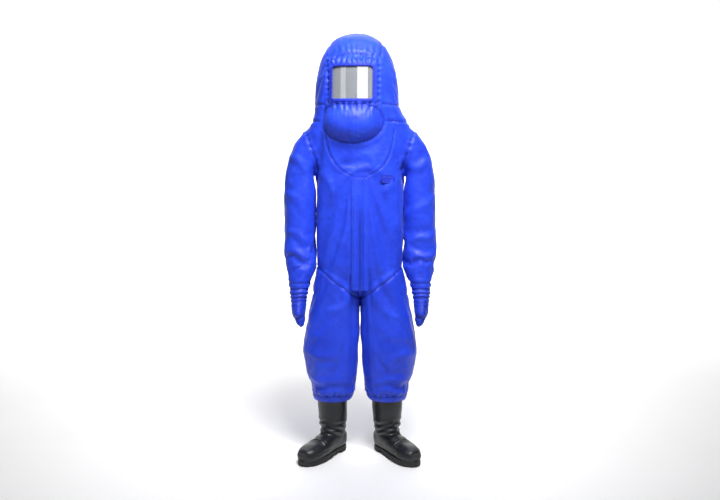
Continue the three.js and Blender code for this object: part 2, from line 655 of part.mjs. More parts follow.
function buildBoot(side) {
  const label = side > 0 ? "left" : "right";
  const boot = new THREE.Group();
  boot.position.set(side * bootX, ankleY, 0);
  boot.rotation.z = rad(side > 0 ? leftSplay : -rightSplay);
  suit.add(boot);

  const aboveSole = (gap) => box(500, 600, 600, 0, 0, soleTop + gap + 300);
  const body = (inset) =>
    filledTube(footRings(inset), { sides: bootSides, squareness: 2.4 }).add(
      filledTube(shaftRings(inset), { sides: bootSides, squareness: 2 }),
    );
  const hollow = body(bootWall).intersect(aboveSole(layerGap + bootFloor));
  const upper = body(0).intersect(aboveSole(layerGap)).subtract(hollow);
  addPiece(`${label}_boot_upper`, upper, "blackRubber", boot);

  const plate = solidOf(extrude(soleOutline(), soleTop - heelLift, 6).translate(0, 0, heelLift));
  const tread = solidOf(extrude(soleOutline(-1), heelLift + 1, 6));
  const arch = box(300, 62, heelLift * 2, 0, -18, 0);
  addPiece(`${label}_boot_outsole`, plate.add(tread.subtract(arch)), "soleRubber", boot);

  const insoleHeight = soleTop + bootFloor + 2 * layerGap;
  const insoleShape = solidOf(extrude(soleOutline(-bootWall - 8), insoleThickness, 6).translate(0, 0, insoleHeight));
  addPiece(`${label}_boot_insole`, insoleShape.intersect(body(bootWall + 1)), "liningFabric", boot);

  const capBottom = insoleHeight + insoleThickness + 2;
  const capFront = box(300, capLength, 300, 0, toe + capLength / 2, capBottom + 150);
  const cap = body(bootWall + seamGap).subtract(body(bootWall + seamGap + capThickness)).intersect(capFront);
  addPiece(`${label}_boot_toe_cap`, cap, "steel", boot);
}

buildTorso();
buildBib();
buildPatch();
buildZip();
buildFlap();
buildHood();
for (const side of [1, -1]) {
  buildArm(side);
  buildLeg(side);
  buildBoot(side);
}

const bounds = new THREE.Box3().setFromObject(suit);
const middle = bounds.getCenter(new THREE.Vector3());
suit.position.set(-middle.x, -middle.y, 0);

export default suit;
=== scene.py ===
import math

import bpy
import numpy as np
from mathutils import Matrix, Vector, noise
from mathutils.bvhtree import BVHTree


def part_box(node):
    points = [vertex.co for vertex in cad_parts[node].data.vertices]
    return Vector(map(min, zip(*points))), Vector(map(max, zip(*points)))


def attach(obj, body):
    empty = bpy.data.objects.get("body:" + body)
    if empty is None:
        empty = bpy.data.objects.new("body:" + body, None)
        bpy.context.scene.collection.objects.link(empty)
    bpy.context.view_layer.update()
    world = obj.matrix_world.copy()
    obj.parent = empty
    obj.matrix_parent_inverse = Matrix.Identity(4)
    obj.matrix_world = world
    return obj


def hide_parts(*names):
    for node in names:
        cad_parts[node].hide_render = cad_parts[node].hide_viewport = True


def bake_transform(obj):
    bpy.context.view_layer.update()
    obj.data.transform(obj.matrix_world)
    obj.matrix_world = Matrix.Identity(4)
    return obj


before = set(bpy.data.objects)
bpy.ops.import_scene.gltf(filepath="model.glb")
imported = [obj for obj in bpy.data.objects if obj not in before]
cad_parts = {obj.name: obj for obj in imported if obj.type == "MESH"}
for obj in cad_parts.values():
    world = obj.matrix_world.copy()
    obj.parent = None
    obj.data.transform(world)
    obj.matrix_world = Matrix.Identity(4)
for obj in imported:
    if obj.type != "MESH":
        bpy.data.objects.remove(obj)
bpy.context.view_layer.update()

sleeveLow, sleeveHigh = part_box("left_upper_sleeve")
axisY = (sleeveLow.y + sleeveHigh.y) / 2  # the body's middle plane, front to back
print("frame loaded, body axis at y", round(axisY, 4))

view = {
    "distance": 3.6,
    "height": 1.343,
    "pitch": 6.65,  # degrees down
    "lens": 41.5,
}


def addCamera():
    bpy.ops.object.camera_add(
        location=(0, axisY - view["distance"], view["height"]),
        rotation=(math.radians(90 - view["pitch"]), 0, 0),
    )
    camera = bpy.context.object
    camera.name = "frontCamera"
    camera.data.lens = view["lens"]
    camera.data.sensor_width = 36
    bpy.context.scene.camera = camera


addCamera()


# Small helpers.
def deselectAll():
    if bpy.context.object and bpy.context.object.mode != "OBJECT":
        bpy.ops.object.mode_set(mode="OBJECT")
    bpy.ops.object.select_all(action="DESELECT")


def pick(obj):
    deselectAll()
    obj.select_set(True)
    bpy.context.view_layer.objects.active = obj


def finishWith(obj, kind, **settings):  # adds one modifier and applies it
    pick(obj)
    modifier = obj.modifiers.new(kind.lower(), kind)
    for name, value in settings.items():
        setattr(modifier, name, value)
    bpy.ops.object.modifier_apply(modifier=modifier.name)


def joinAll(objects, name):
    deselectAll()
    for obj in objects:
        obj.select_set(True)
    bpy.context.view_layer.objects.active = objects[0]
    if len(objects) > 1:
        bpy.ops.object.join()
    objects[0].name = name
    return objects[0]


def getPoints(mesh):
    points = np.empty(len(mesh.vertices) * 3)
    mesh.vertices.foreach_get("co", points)
    return points.reshape(-1, 3)


def setPoints(mesh, points):
    mesh.vertices.foreach_set("co", np.ascontiguousarray(points, dtype=np.float64).ravel())
    mesh.update()


def smoothStep(low, high, value):
    t = np.clip((value - low) / (high - low), 0, 1)
    return t * t * (3 - 2 * t)


def shade(obj):
    pick(obj)
    bpy.ops.object.shade_smooth()
    return obj


# The suit's shell: sections in metres as (x, z, half width, half depth, tilt), y from the body's middle.
suit = {
    "sleeveFuller": 0.011,
    "legCloser": 0.007,
    "voxel": 0.0092,
    "legSpread": 0.009,  # legs and sleeves are formed apart, then closed up
    "armSpread": 0.032,
    "torsoSquare": 3.0,
    "limbSquare": 2.2,
    "torso": [
        (0, 0.735, 0.030, 0.060, 0), (0, 0.80, 0.118, 0.112, 0), (0, 0.87, 0.186, 0.128, 0),
        (0, 1.00, 0.192, 0.129, 0), (0, 1.15, 0.193, 0.129, 0), (0, 1.285, 0.187, 0.130, 0),
        (0, 1.37, 0.214, 0.130, 0), (0, 1.43, 0.226, 0.131, 0, 2.8), (0, 1.48, 0.205, 0.138, 0, 2.5),
        (-0.007, 1.512, 0.190, 0.154, 0, 2.3), (-0.014, 1.545, 0.180, 0.170, 0, 2.2),
    ],
    "hoodCentre": (-0.014, -0.005),
    "hoodTop": 1.85,
    "hoodTurn": -6.5,
    "hoodRound": 2.4,
    "arm": [
        (0.180, 1.37, 0.080, 0.080, 72), (0.212, 1.364, 0.083, 0.083, 72), (0.238, 1.335, 0.070, 0.080, 49),
        (0.256, 1.299, 0.062, 0.077, 30), (0.2655, 1.256, 0.059, 0.073, 0), (0.2675, 1.16, 0.0655, 0.071, 0),
        (0.2675, 1.01, 0.0665, 0.069, 0), (0.2675, 0.94, 0.0665, 0.067, 0), (0.260, 0.86, 0.0620, 0.061, 0),
        (0.263, 0.79, 0.048, 0.054, 0), (0.262, 0.752, 0.043, 0.047, 0),
    ],
    "armForward": [(1.10, 0.0), (1.01, -0.004), (0.94, -0.015), (0.86, -0.029), (0.79, -0.042), (0.752, -0.047)],
    "leg": [
        (0.072, 0.825, 0.105, 0.106, 37), (0.094, 0.79, 0.1156, 0.122, 37), (0.107, 0.6735, 0.121, 0.118, 33),
        (0.119, 0.615, 0.114, 0.116, 10), (0.126, 0.54, 0.120, 0.116, 0), (0.130, 0.482, 0.123, 0.119, 0),
        (0.124, 0.38, 0.111, 0.106, 0), (0.119, 0.335, 0.099, 0.098, 0), (0.119, 0.285, 0.095, 0.094, 0),
        (0.123, 0.245, 0.079, 0.080, 0), (0.123, 0.215, 0.074, 0.076, 0),
    ],
    "legForward": [(0.50, 0.0), (0.38, 0.002), (0.335, 0.008), (0.285, 0.014), (0.245, 0.022), (0.215, 0.024)],
    "chin": {"centre": (-0.033, -0.118, 1.477), "size": (0.126, 0.076, 0.086)},
    "cuffEnd": 0.768,
    "hemEnd": 0.258,
}
armpit = Vector((0.185, 1.285))
shoulderTip = Vector((0.235, 1.445))
crotch = Vector((0.002, 0.72))
hipSide = Vector((0.186, 0.86))
hood = {
    "base": 1.545,
    "faceHalf": 0.103,  # half width of the opening for the face
    "faceLow": 1.551,
    "faceHigh": 1.722,
    "faceRadius": 0.172,
    "faceLean": math.tan(math.radians(6)),
    "windowLow": 1.562,
    "windowWidth": 0.176,
    "windowHeight": 0.136,
    "archTop": 1.752,  # the seam over the brow
    "lowSeam": 1.540,
}


def superellipse(angle, square):
    c, s = math.cos(angle), math.sin(angle)
    return math.copysign(abs(c) ** (2 / square), c), math.copysign(abs(s) ** (2 / square), s)


def loft(name, sections, square, shift=None, side=1, apart=None, sides=36):
    points, faces = [], []
    for x, z, wide, deep, tilt, *own in sections:
        y = axisY + (float(np.interp(-z, [-h for h, _ in shift], [f for _, f in shift])) if shift else 0)
        x += float(apart(z)) if apart else 0
        lean = math.radians(tilt)
        power = own[0] if own else square
        for i in range(sides):
            across, through = superellipse(2 * math.pi * i / sides, power)
            px = x + wide * across * math.cos(lean)
            points.append((side * px, y + deep * through, z + wide * across * math.sin(lean)))
    for r in range(len(sections) - 1):
        for i in range(sides):
            j = (i + 1) % sides
            faces.append((r * sides + i, r * sides + j, (r + 1) * sides + j, (r + 1) * sides + i))
    faces.append(tuple(range(sides)))
    faces.append(tuple(range((len(sections) - 1) * sides, len(sections) * sides)))
    mesh = bpy.data.meshes.new(name)
    mesh.from_pydata(points, [], faces)
    obj = bpy.data.objects.new(name, mesh)
    bpy.context.collection.objects.link(obj)
    pick(obj)
    bpy.ops.object.mode_set(mode="EDIT")
    bpy.ops.mesh.select_all(action="SELECT")
    bpy.ops.mesh.normals_make_consistent(inside=False)
    bpy.ops.object.mode_set(mode="OBJECT")
    return obj


def hoodSections():
    x, _ = suit["hoodCentre"]
    half = suit["torso"][-1][2]
    depth = suit["torso"][-1][3]
    rows = []
    steps = 14
    for i in range(1, steps + 1):
        rise = math.sin(i / steps * math.pi / 2) ** 0.9
        size = (1 - min(rise, 0.9995) ** suit["hoodRound"]) ** (1 / suit["hoodRound"])
        z = hood["base"] + (suit["hoodTop"] - hood["base"]) * rise
        rows.append((x, z, max(half * size, 0.006), max(depth * size, 0.006), 0, 2.2))
    return rows


def toHood(points):  # the hood's own frame, where the face looks along -Y
    turn = math.radians(-suit["hoodTurn"])
    cx, cy = suit["hoodCentre"]
    x = points[:, 0] - cx
    y = points[:, 1] - axisY - cy
    return np.stack([x * math.cos(turn) - y * math.sin(turn), x * math.sin(turn) + y * math.cos(turn), points[:, 2]], 1)


def fromHood(points):
    turn = math.radians(suit["hoodTurn"])
    cx, cy = suit["hoodCentre"]
    x = points[:, 0] * math.cos(turn) - points[:, 1] * math.sin(turn)
    y = points[:, 0] * math.sin(turn) + points[:, 1] * math.cos(turn)
    return np.stack([x + cx, y + cy + axisY, points[:, 2]], 1)


def flattenFace(points):  # the cloth round the window lies on an upright drum that leans back
    local = toHood(points)
    x, y, z = local.T
    across = 1 - smoothStep(hood["faceHalf"] - 0.006, hood["faceHalf"] + 0.026, np.abs(x))
    up = smoothStep(hood["faceLow"] - 0.024, hood["faceLow"] - 0.004, z)
    down = 1 - smoothStep(hood["faceHigh"] - 0.012, hood["faceHigh"] + 0.022, z)
    amount = across * up * down * (y < 0)
    drum = -np.sqrt(np.maximum(hood["faceRadius"] ** 2 - x ** 2, 0)) + (z - hood["windowLow"]) * hood["faceLean"]
    local[:, 1] = y + (drum - y) * amount
    return fromHood(local)


def chinField(points):
    cx, cy, cz = suit["chin"]["centre"]
    wide, deep, high = suit["chin"]["size"]
    turn = math.radians(-suit["hoodTurn"])
    x, y, z = points[:, 0] - cx, points[:, 1] - axisY - cy, points[:, 2] - cz
    across = x * math.cos(turn) - y * math.sin(turn)
    through = x * math.sin(turn) + y * math.cos(turn)
    return np.sqrt((across / wide) ** 2 + (through / deep) ** 2 + (z / high) ** 2)


def legsApart(z):
    return suit["legSpread"] * smoothStep(0.80, 0.70, z)


def legCloser(z):  # the legs touch down to the knees
    return suit["legCloser"] * smoothStep(0.50, 0.57, z) * smoothStep(0.72, 0.66, z)


def armsApart(z):
    return suit["armSpread"] * smoothStep(1.265, 1.15, z)


def softenChin(shell):  # the bulge under the window runs into the neck without a crease
    group = shell.vertex_groups.new(name="chinEdge")
    field = chinField(getPoints(shell.data))
    near = np.exp(-((field - 1.10) / 0.26) ** 2)
    for i in np.nonzero(near > 0.05)[0]:
        group.add([int(i)], float(near[i]), "REPLACE")
    finishWith(shell, "SMOOTH", factor=0.6, iterations=30, vertex_group="chinEdge")
    shell.vertex_groups.clear()


def buildShell():
    square = suit["limbSquare"]
    parts = [loft("trunk", suit["torso"] + hoodSections(), suit["torsoSquare"])]
    for side in (1, -1):
        parts.append(loft("arm", suit["arm"], square, suit["armForward"], side, armsApart))
        parts.append(loft("leg", suit["leg"], square, suit["legForward"], side, legsApart))
    deselectAll()
    cx, cy, cz = suit["chin"]["centre"]
    bpy.ops.mesh.primitive_uv_sphere_add(segments=40, ring_count=24, radius=1, location=(cx, axisY + cy, cz))
    chin = bpy.context.object
    chin.scale = suit["chin"]["size"]
    chin.rotation_euler.z = math.radians(suit["hoodTurn"])
    bpy.ops.object.transform_apply(location=True, rotation=True, scale=True)
    parts.append(chin)
    shell = joinAll(parts, "suitShell")
    finishWith(shell, "REMESH", mode="VOXEL", voxel_size=suit["voxel"], use_smooth_shade=True)
    finishWith(shell, "SMOOTH", factor=0.5, iterations=5)
    softenChin(shell)
    points = getPoints(shell.data)
    x, y, z = points.T
    sleeve = (np.abs(x) > 0.197 + 0.5 * armsApart(z)) & (z < 1.27) & (z > 0.735)
    closing = np.where(sleeve, armsApart(z), legsApart(z) * smoothStep(0.0, 0.02, np.abs(x)))
    points[:, 0] -= np.sign(x) * closing
    setPoints(shell.data, flattenFace(points))
    print("shell formed:", len(shell.data.vertices), "points")
    return shell



def cutAt(shell, chosen, point, normal):  # bisects the chosen faces and removes what the normal points to
    pick(shell)
    bpy.ops.object.mode_set(mode="EDIT")
    bpy.ops.mesh.select_all(action="DESELECT")
    bpy.ops.object.mode_set(mode="OBJECT")
    for face in shell.data.polygons:
        face.select = chosen(face.center)
    bpy.ops.object.mode_set(mode="EDIT")
    bpy.ops.mesh.select_mode(type="FACE")
    bpy.ops.mesh.bisect(plane_co=point, plane_no=normal, clear_outer=True)
    bpy.ops.object.mode_set(mode="OBJECT")


def isSleeve(c):  # the last stretch of a sleeve, beside the hip
    return abs(c.x) > 0.209 and c.z > 0.73 and c.y < axisY + 0.03


def openEnds(shell):
    cuff, hem = suit["cuffEnd"], suit["hemEnd"]
    cutAt(shell, lambda c: isSleeve(c) and c.z < cuff + 0.03, (0, 0, cuff), (0, 0, -1))
    cutAt(shell, lambda c: c.z < hem + 0.03, (0, 0, hem), (0, 0, -1))


closure = {
    "top": 1.236,
    "bottom": 0.772,
    "gap": 0.012,
}


def openFront(shell):  # the slot that the zip closes
    half = closure["gap"] / 2

    def onFront(c):
        return abs(c.x) < 0.02 and c.y < axisY - 0.08 and closure["bottom"] - 0.02 < c.z < closure["top"] + 0.02

    pick(shell)
    for point, normal in (
        ((half, 0, 0), (1, 0, 0)), ((-half, 0, 0), (-1, 0, 0)),
        ((0, 0, closure["top"]), (0, 0, 1)), ((0, 0, closure["bottom"]), (0, 0, -1)),
    ):
        bpy.ops.object.mode_set(mode="EDIT")
        bpy.ops.mesh.select_all(action="DESELECT")
        bpy.ops.object.mode_set(mode="OBJECT")
        for face in shell.data.polygons:
            face.select = onFront(face.center)
        bpy.ops.object.mode_set(mode="EDIT")
        bpy.ops.mesh.select_mode(type="FACE")
        bpy.ops.mesh.bisect(plane_co=point, plane_no=normal)
        bpy.ops.object.mode_set(mode="OBJECT")
    for face in shell.data.polygons:
        c = face.center
        face.select = onFront(c) and abs(c.x) < half and closure["bottom"] < c.z < closure["top"]
    bpy.ops.object.mode_set(mode="EDIT")
    bpy.ops.mesh.delete(type="FACE")
    bpy.ops.object.mode_set(mode="OBJECT")


# Which piece of the suit each stretch of cloth belongs to.
pieceNames = [
    "back_panel", "front_panel_left", "front_panel_right", "neck_bib", "neck_bellows", "chin_panel", "face_panel",
    "hood_shell",
]
for side in ("left", "right"):
    pieceNames += [f"{side}_{part}" for part in (
        "shoulder_gusset", "upper_sleeve", "elbow_section", "forearm_sleeve", "sleeve_cuff",
        "hip_gusset", "thigh_leg", "knee_section", "shin_leg", "hem_band",
    )]
armLine = (shoulderTip - armpit).normalized()
groinLine = (hipSide - crotch).normalized()
bib = {"half": 0.150, "bottom": 1.246, "top": 1.474}


def beyondArmhole(x, z):
    return (np.abs(x) - armpit.x) * armLine.y - (z - armpit.y) * armLine.x


def belowGroin(x, z):
    return (np.abs(x) - crotch.x) * groinLine.y - (z - crotch.y) * groinLine.x


def bibEdge(x, z):  # how far inside the bib's U a point is, in metres
    rise = np.clip((z - bib["bottom"]) / (bib["top"] - bib["bottom"]), 0, 1)
    half = bib["half"] * np.sqrt(1 - (1 - rise) ** 2.3)
    below = -np.hypot(np.maximum(np.abs(x) - 0.02, 0), bib["bottom"] - z)
    return np.where(z > bib["bottom"], half - np.abs(x), below)


sleeveEdge = ((0.755, 0.79, 0.83, 0.87, 0.9), (0.212, 0.2105, 0.2025, 0.1945, 0.1945))  # between sleeve and hip: z, x


def namePieces(points):  # the index in pieceNames for each point
    x, y, z = points.T
    inHood = toHood(points)
    front = y < axisY
    piece = np.where(front, np.where(x > 0, 1, 2), 0)
    piece[front & (bibEdge(x, z) > 0)] = 3
    piece[z >= 1.442] = 4
    piece[z >= hood["base"]] = 7
    face = (np.abs(inHood[:, 0]) < hood["faceHalf"]) & (inHood[:, 1] < 0)
    piece[face & (z > hood["faceLow"]) & (z < hood["faceHigh"])] = 6
    piece[(chinField(points) < 1.06) & (y < axisY - 0.135) & (z < hood["faceLow"] + 0.01)] = 5
    arm = (beyondArmhole(x, z) > 0) & (z > armpit.y) & (z < 1.46)
    arm |= (np.abs(x) > 0.197) & (z <= armpit.y) & (z > 0.9)
    arm |= (np.abs(x) > np.interp(z, *sleeveEdge)) & (z <= 0.9) & (z > 0.755)
    leg = (belowGroin(x, z) > 0) & ~arm & (z < 0.9)
    down = belowGroin(x, z)
    for side in (1, -1):
        first = 8 if side > 0 else 18
        mine = arm & (x * side > 0)
        piece[mine] = first
        for offset, top in ((1, 1.256), (2, 1.16), (3, 1.01), (4, 0.79)):
            piece[mine & (z < top)] = first + offset
        mine = leg & (x * side > 0)
        piece[mine] = first + 5
        piece[mine & (down > 0.1006)] = first + 6
        for offset, top in ((7, 0.54), (8, 0.38), (9, 0.285)):
            piece[mine & (z < top)] = first + offset
    return piece


def faceCentres(mesh):
    centres = np.empty(len(mesh.polygons) * 3)
    mesh.polygons.foreach_get("center", centres)
    return centres.reshape(-1, 3)


def labelPieces(shell):
    for name in pieceNames:
        shell.data.materials.append(bpy.data.materials.new("label_" + name))
    shell.data.polygons.foreach_set("material_index", namePieces(faceCentres(shell.data)).astype(np.int32))
    cut = shell.data.attributes.new("cutPlace", "FLOAT_VECTOR", "POINT")
    cut.data.foreach_set("vector", getPoints(shell.data).ravel())


def restLimbs(shell):  # the sleeves lean on the trunk and the legs on each other, once their pieces are named
    mesh = shell.data
    label = np.empty(len(mesh.polygons), dtype=np.int32)
    corners = np.empty(len(mesh.polygons), dtype=np.int32)
    ends = np.empty(len(mesh.loops), dtype=np.int32)
    mesh.polygons.foreach_get("material_index", label)
    mesh.polygons.foreach_get("loop_total", corners)
    mesh.loops.foreach_get("vertex_index", ends)
    onArm = ((label >= 8) & (label <= 12)) | ((label >= 18) & (label <= 22))
    sleeve = np.zeros(len(mesh.vertices), dtype=bool)
    sleeve[ends[np.repeat(onArm, corners)]] = True
    points = getPoints(mesh)
    z = points[:, 2]
    out = np.abs(points[:, 0])
    fuller = suit["sleeveFuller"] * smoothStep(0.76, 0.84, z) * smoothStep(1.275, 1.235, z)
    closer = legCloser(z) * np.clip((0.14 - out) / 0.12, 0, 1)
    moved = np.where(sleeve, fuller * np.clip((0.33 - out) / 0.13, 0, 1), closer)
    points[:, 0] = np.sign(points[:, 0]) * np.maximum(out - moved, np.minimum(out, 0.001))
    setPoints(mesh, points)


# Cloth.
drape = {
    "frames": 20,
    "limbLonger": 0.09,  # sleeves and legs are cut this much longer than they hang
    "trunkLonger": 0.04,
    "wider": 0.045,
    "gravity": 0.04,
    "bend": 0.5,
    "hold": 0.06,
    "limit": 0.018,
    "noiseSize": 0.0016,
    "foldWidth": 0.016,
}
# folds that the cloth starts from: front or back, from (x, z) to (x, z), height in metres
startFolds = [
    ("front", (-0.022, 1.205), (-0.112, 0.850), 0.006), ("front", (0.000, 1.195), (0.112, 0.815), 0.006),
    ("front", (-0.060, 1.175), (-0.150, 0.940), 0.004), ("front", (0.070, 1.180), (0.150, 0.960), 0.004),
    ("front", (-0.170, 1.275), (-0.095, 1.140), 0.005), ("front", (0.170, 1.275), (0.100, 1.150), 0.005),
    ("front", (-0.030, 0.960), (-0.060, 0.740), 0.005), ("front", (0.040, 0.960), (0.070, 0.730), 0.004),
    ("front", (-0.020, 0.735), (-0.150, 0.660), 0.005), ("front", (0.020, 0.735), (0.160, 0.650), 0.005),
    ("front", (-0.060, 0.640), (-0.205, 0.560), 0.004), ("front", (0.060, 0.620), (0.205, 0.540), 0.004),
    ("front", (-0.225, 0.500), (-0.090, 0.455), 0.006), ("front", (0.225, 0.490), (0.100, 0.440), 0.006),
    ("front", (-0.215, 0.380), (-0.040, 0.340), 0.008), ("front", (0.215, 0.370), (0.040, 0.345), 0.008),
    ("front", (-0.205, 0.322), (-0.050, 0.300), 0.008), ("front", (0.200, 0.315), (0.050, 0.306), 0.008),
    ("front", (-0.330, 1.020), (-0.225, 0.975), 0.007), ("front", (0.330, 1.015), (0.225, 0.970), 0.007),
    ("front", (-0.325, 0.930), (-0.225, 0.905), 0.006), ("front", (0.325, 0.925), (0.225, 0.900), 0.006),
    ("front", (-0.320, 1.180), (-0.230, 1.100), 0.005), ("front", (0.320, 1.170), (0.230, 1.090), 0.005),
    ("front", (-0.300, 1.330), (-0.215, 1.270), 0.005), ("front", (0.300, 1.330), (0.215, 1.270), 0.005),
    ("back", (-0.160, 1.280), (-0.060, 1.120), 0.006), ("back", (0.160, 1.280), (0.060, 1.120), 0.006),
    ("back", (-0.150, 1.010), (0.060, 0.970), 0.006), ("back", (0.150, 0.950), (-0.050, 0.915), 0.006),
    ("back", (0.000, 0.900), (-0.140, 0.790), 0.006), ("back", (0.000, 0.900), (0.140, 0.790), 0.006),
    ("back", (-0.230, 0.480), (-0.030, 0.430), 0.007), ("back", (0.230, 0.480), (0.030, 0.430), 0.007),
    ("back", (-0.210, 0.350), (-0.040, 0.320), 0.008), ("back", (0.210, 0.350), (0.040, 0.320), 0.008),
    ("back", (-0.325, 1.060), (-0.225, 1.100), 0.006), ("back", (0.325, 1.060), (0.225, 1.100), 0.006),
]


def roughNoise(points, size, seed):
    offset = Vector((seed * 7.3, seed * 3.1, seed * 1.7))
    return np.array([noise.noise(Vector(p) / size + offset) for p in points])


def foldHeight(points):
    x, y, z = points.T
    rise = np.zeros(len(points))
    for face, (x0, z0), (x1, z1), height in startFolds:
        facing = smoothStep(-0.03, 0.05, (axisY - y) * (1 if face == "front" else -1))
        run = math.hypot(x1 - x0, z1 - z0)
        along = ((x - x0) * (x1 - x0) + (z - z0) * (z1 - z0)) / run / run
        away = ((x - x0) * (z1 - z0) - (z - z0) * (x1 - x0)) / run
        away = away + 0.010 * np.sin(along * 5 + x0 * 40)  # folds wander a little
        ends = smoothStep(-0.12, 0.25, along) * smoothStep(1.12, 0.75, along)
        ridge = np.exp(-(away / drape["foldWidth"]) ** 2) - 0.55 * np.exp(-((away - 0.028) / 0.018) ** 2)
        rise += height * ridge * ends * facing
    return rise


def cutLarger(points):  # the size the cloth is cut to
    x, y, z = points.T
    side = np.sign(x)
    arm = smoothStep(-0.01, 0.03, beyondArmhole(x, np.maximum(z, armpit.y))) * (np.abs(x) > 0.19)
    leg = smoothStep(-0.02, 0.04, belowGroin(x, z)) * (1 - arm)
    limb = np.maximum(arm, leg)
    longer = drape["trunkLonger"] + (drape["limbLonger"] - drape["trunkLonger"]) * limb
    longer = longer + 0.10 * leg * smoothStep(0.50, 0.34, z)  # more of it gathers above the hems
    base = np.where(arm > 0.5, 1.35, 0.80)
    wide = 1 + drape["wider"]
    centreX = side * (arm * 0.268 + leg * 0.122)
    return np.stack([
        centreX + (x - centreX) * wide,
        axisY + (y - axisY) * wide,
        base + (z - base) * (1 + longer),
    ], 1)


def holdWeights(points):
    x, y, z = points.T
    inHood = toHood(points)
    weight = np.full(len(points), drape["hold"])
    weight[z > 1.30] = 0.08
    weight[z > 1.47] = 0.12
    face = (np.abs(inHood[:, 0]) < 0.1) & (inHood[:, 1] < 0) & (z > 1.553) & (z < 1.707)
    flapStrip = (np.abs(x) < 0.042) & (y < axisY - 0.09) & (z > 0.76) & (z < 1.25)
    ends = (z < suit["hemEnd"] + 0.010) | ((z < suit["cuffEnd"] + 0.010) & (np.abs(x) > 0.209) & (z > 0.75))
    weight[face | ends] = 1.0
    weight[flapStrip] = 0.9
    return weight


def drapeShell(shell):
    mesh = shell.data
    start = getPoints(mesh)
    normals = np.empty(len(mesh.vertices) * 3)
    mesh.vertices.foreach_get("normal", normals)
    normals = normals.reshape(-1, 3)
    weight = holdWeights(start)
    rough = roughNoise(start * np.array([1, 1, 1.5]), 0.06, 1) + 0.6 * roughNoise(start, 0.03, 2)
    seeds = (rough * drape["noiseSize"] + foldHeight(start)) * (weight < 0.85)
    seeded = start + normals * seeds[:, None]
    shell.shape_key_add(name="Basis")
    fuller = shell.shape_key_add(name="cutSize")
    fuller.data.foreach_set("co", cutLarger(start).ravel())
    first = shell.shape_key_add(name="seeded")
    first.data.foreach_set("co", seeded.ravel())
    first.value = 1.0
    hold = shell.vertex_groups.new(name="hold")
    for value in np.unique(weight):
        hold.add(np.nonzero(weight == value)[0].tolist(), float(value), "REPLACE")
    pick(shell)
    cloth = shell.modifiers.new("drape", "CLOTH")
    settings = cloth.settings
    settings.quality = 5
    settings.mass = 0.2
    settings.tension_stiffness = 15
    settings.compression_stiffness = 10
    settings.shear_stiffness = 4
    settings.bending_stiffness = drape["bend"]
    settings.air_damping = 3
    settings.vertex_group_mass = "hold"
    settings.pin_stiffness = 1.0
    settings.rest_shape_key = fuller
    settings.effector_weights.gravity = drape["gravity"]
    cloth.collision_settings.use_collision = False
    cloth.point_cache.frame_end = drape["frames"]
    for step in range(1, drape["frames"] + 1):
        bpy.context.scene.frame_set(step)
    draped = shell.evaluated_get(bpy.context.evaluated_depsgraph_get())
    moved = getPoints(draped.data) - start
    bpy.context.scene.frame_set(1)
    shell.modifiers.remove(cloth)
    shell.shape_key_clear()
    far = np.linalg.norm(moved, axis=1)
    print("cloth moved", round(float(far.mean()) * 1000, 1), "mm on average, most", round(float(far.max()) * 1000, 1))
    capped = drape["limit"] * np.tanh(far / drape["limit"]) / np.maximum(far, 1e-6)
    setPoints(mesh, start + moved * capped[:, None])


# the finish of the cloth: gathers, grooves along the seams, the hole for the window
def seamLines(rest):  # distance to the nearest seam, and how far along it, both in metres
    x, y, z = rest.T
    inHood = toHood(rest)
    hx, hy = inHood[:, 0], inHood[:, 1]
    away = np.full(len(rest), 0.2)
    along = z.copy()
    sleeve = (np.abs(x) > 0.2) & (z < 1.30) & (z > 0.74) & ((z > 0.9) | (np.abs(x) > 0.209))
    legs = (z < 0.86) & ~sleeve
    trunk = ~sleeve & ~legs

    def add(distance, where, run):
        better = where & (np.abs(distance) < away)
        away[better] = np.abs(distance)[better]
        along[better] = run[better]

    legY = np.interp(-z, [-0.50, -0.38, -0.335, -0.285, -0.245], [0, 0.002, 0.008, 0.014, 0.022])
    armY = np.interp(-z, [-1.10, -1.01, -0.94, -0.86, -0.79, -0.75], [0, -0.004, -0.015, -0.029, -0.042, -0.047])
    add(beyondArmhole(x, z), (np.abs(x) > 0.17) & (z > 1.27) & (z < 1.46), y)
    add(belowGroin(x, z), (z < 0.862) & ~sleeve, x)
    add(y - axisY, trunk & (z < 1.30) & (np.abs(x) > 0.12), z)
    add(y - axisY - legY, legs & (np.abs(x) > 0.002), z)
    add(y - axisY - armY, sleeve & (np.abs(x) < 0.27), z)
    add(bibEdge(x, z), (y < axisY) & (z > 1.225) & (z < 1.44) & (np.abs(x) < 0.2), np.abs(x) + z)
    chin = chinField(rest)
    add(z - 1.478, trunk & (z > 1.46) & ((chin > 1.12) | (y > axisY)), x)
    add(z - hood["base"], (hy > 0) | (np.abs(hx) > 0.12), x + y)
    face = np.maximum(np.abs(hx) - hood["faceHalf"] - 0.004, z - hood["archTop"] + 0.3 * hx * hx / hood["faceHalf"])
    add(face, (hy < 0) & (z > hood["faceLow"] - 0.02), hx + z)
    add(z - hood["lowSeam"] - 0.9 * hx * hx, (hy < -0.05) & (np.abs(hx) < hood["faceHalf"] + 0.01), hx)
    add((chin - 1.07) * 0.09, (y < axisY - 0.11) & (z < 1.55), x)
    add(np.abs(hx) - 0.112, (z > hood["archTop"] - 0.01) | ((hy > 0) & (z > hood["base"])), z)
    add(hy - 0.03, (np.abs(hx) > 0.11) & (z > hood["base"]), z)
    add(x, (y > axisY + 0.05) & trunk & (z < 1.47), z)
    add(z - 0.79, sleeve & (z < 0.85), x + y)
    add(z - 0.285, z < 0.33, x + y)
    return away, along


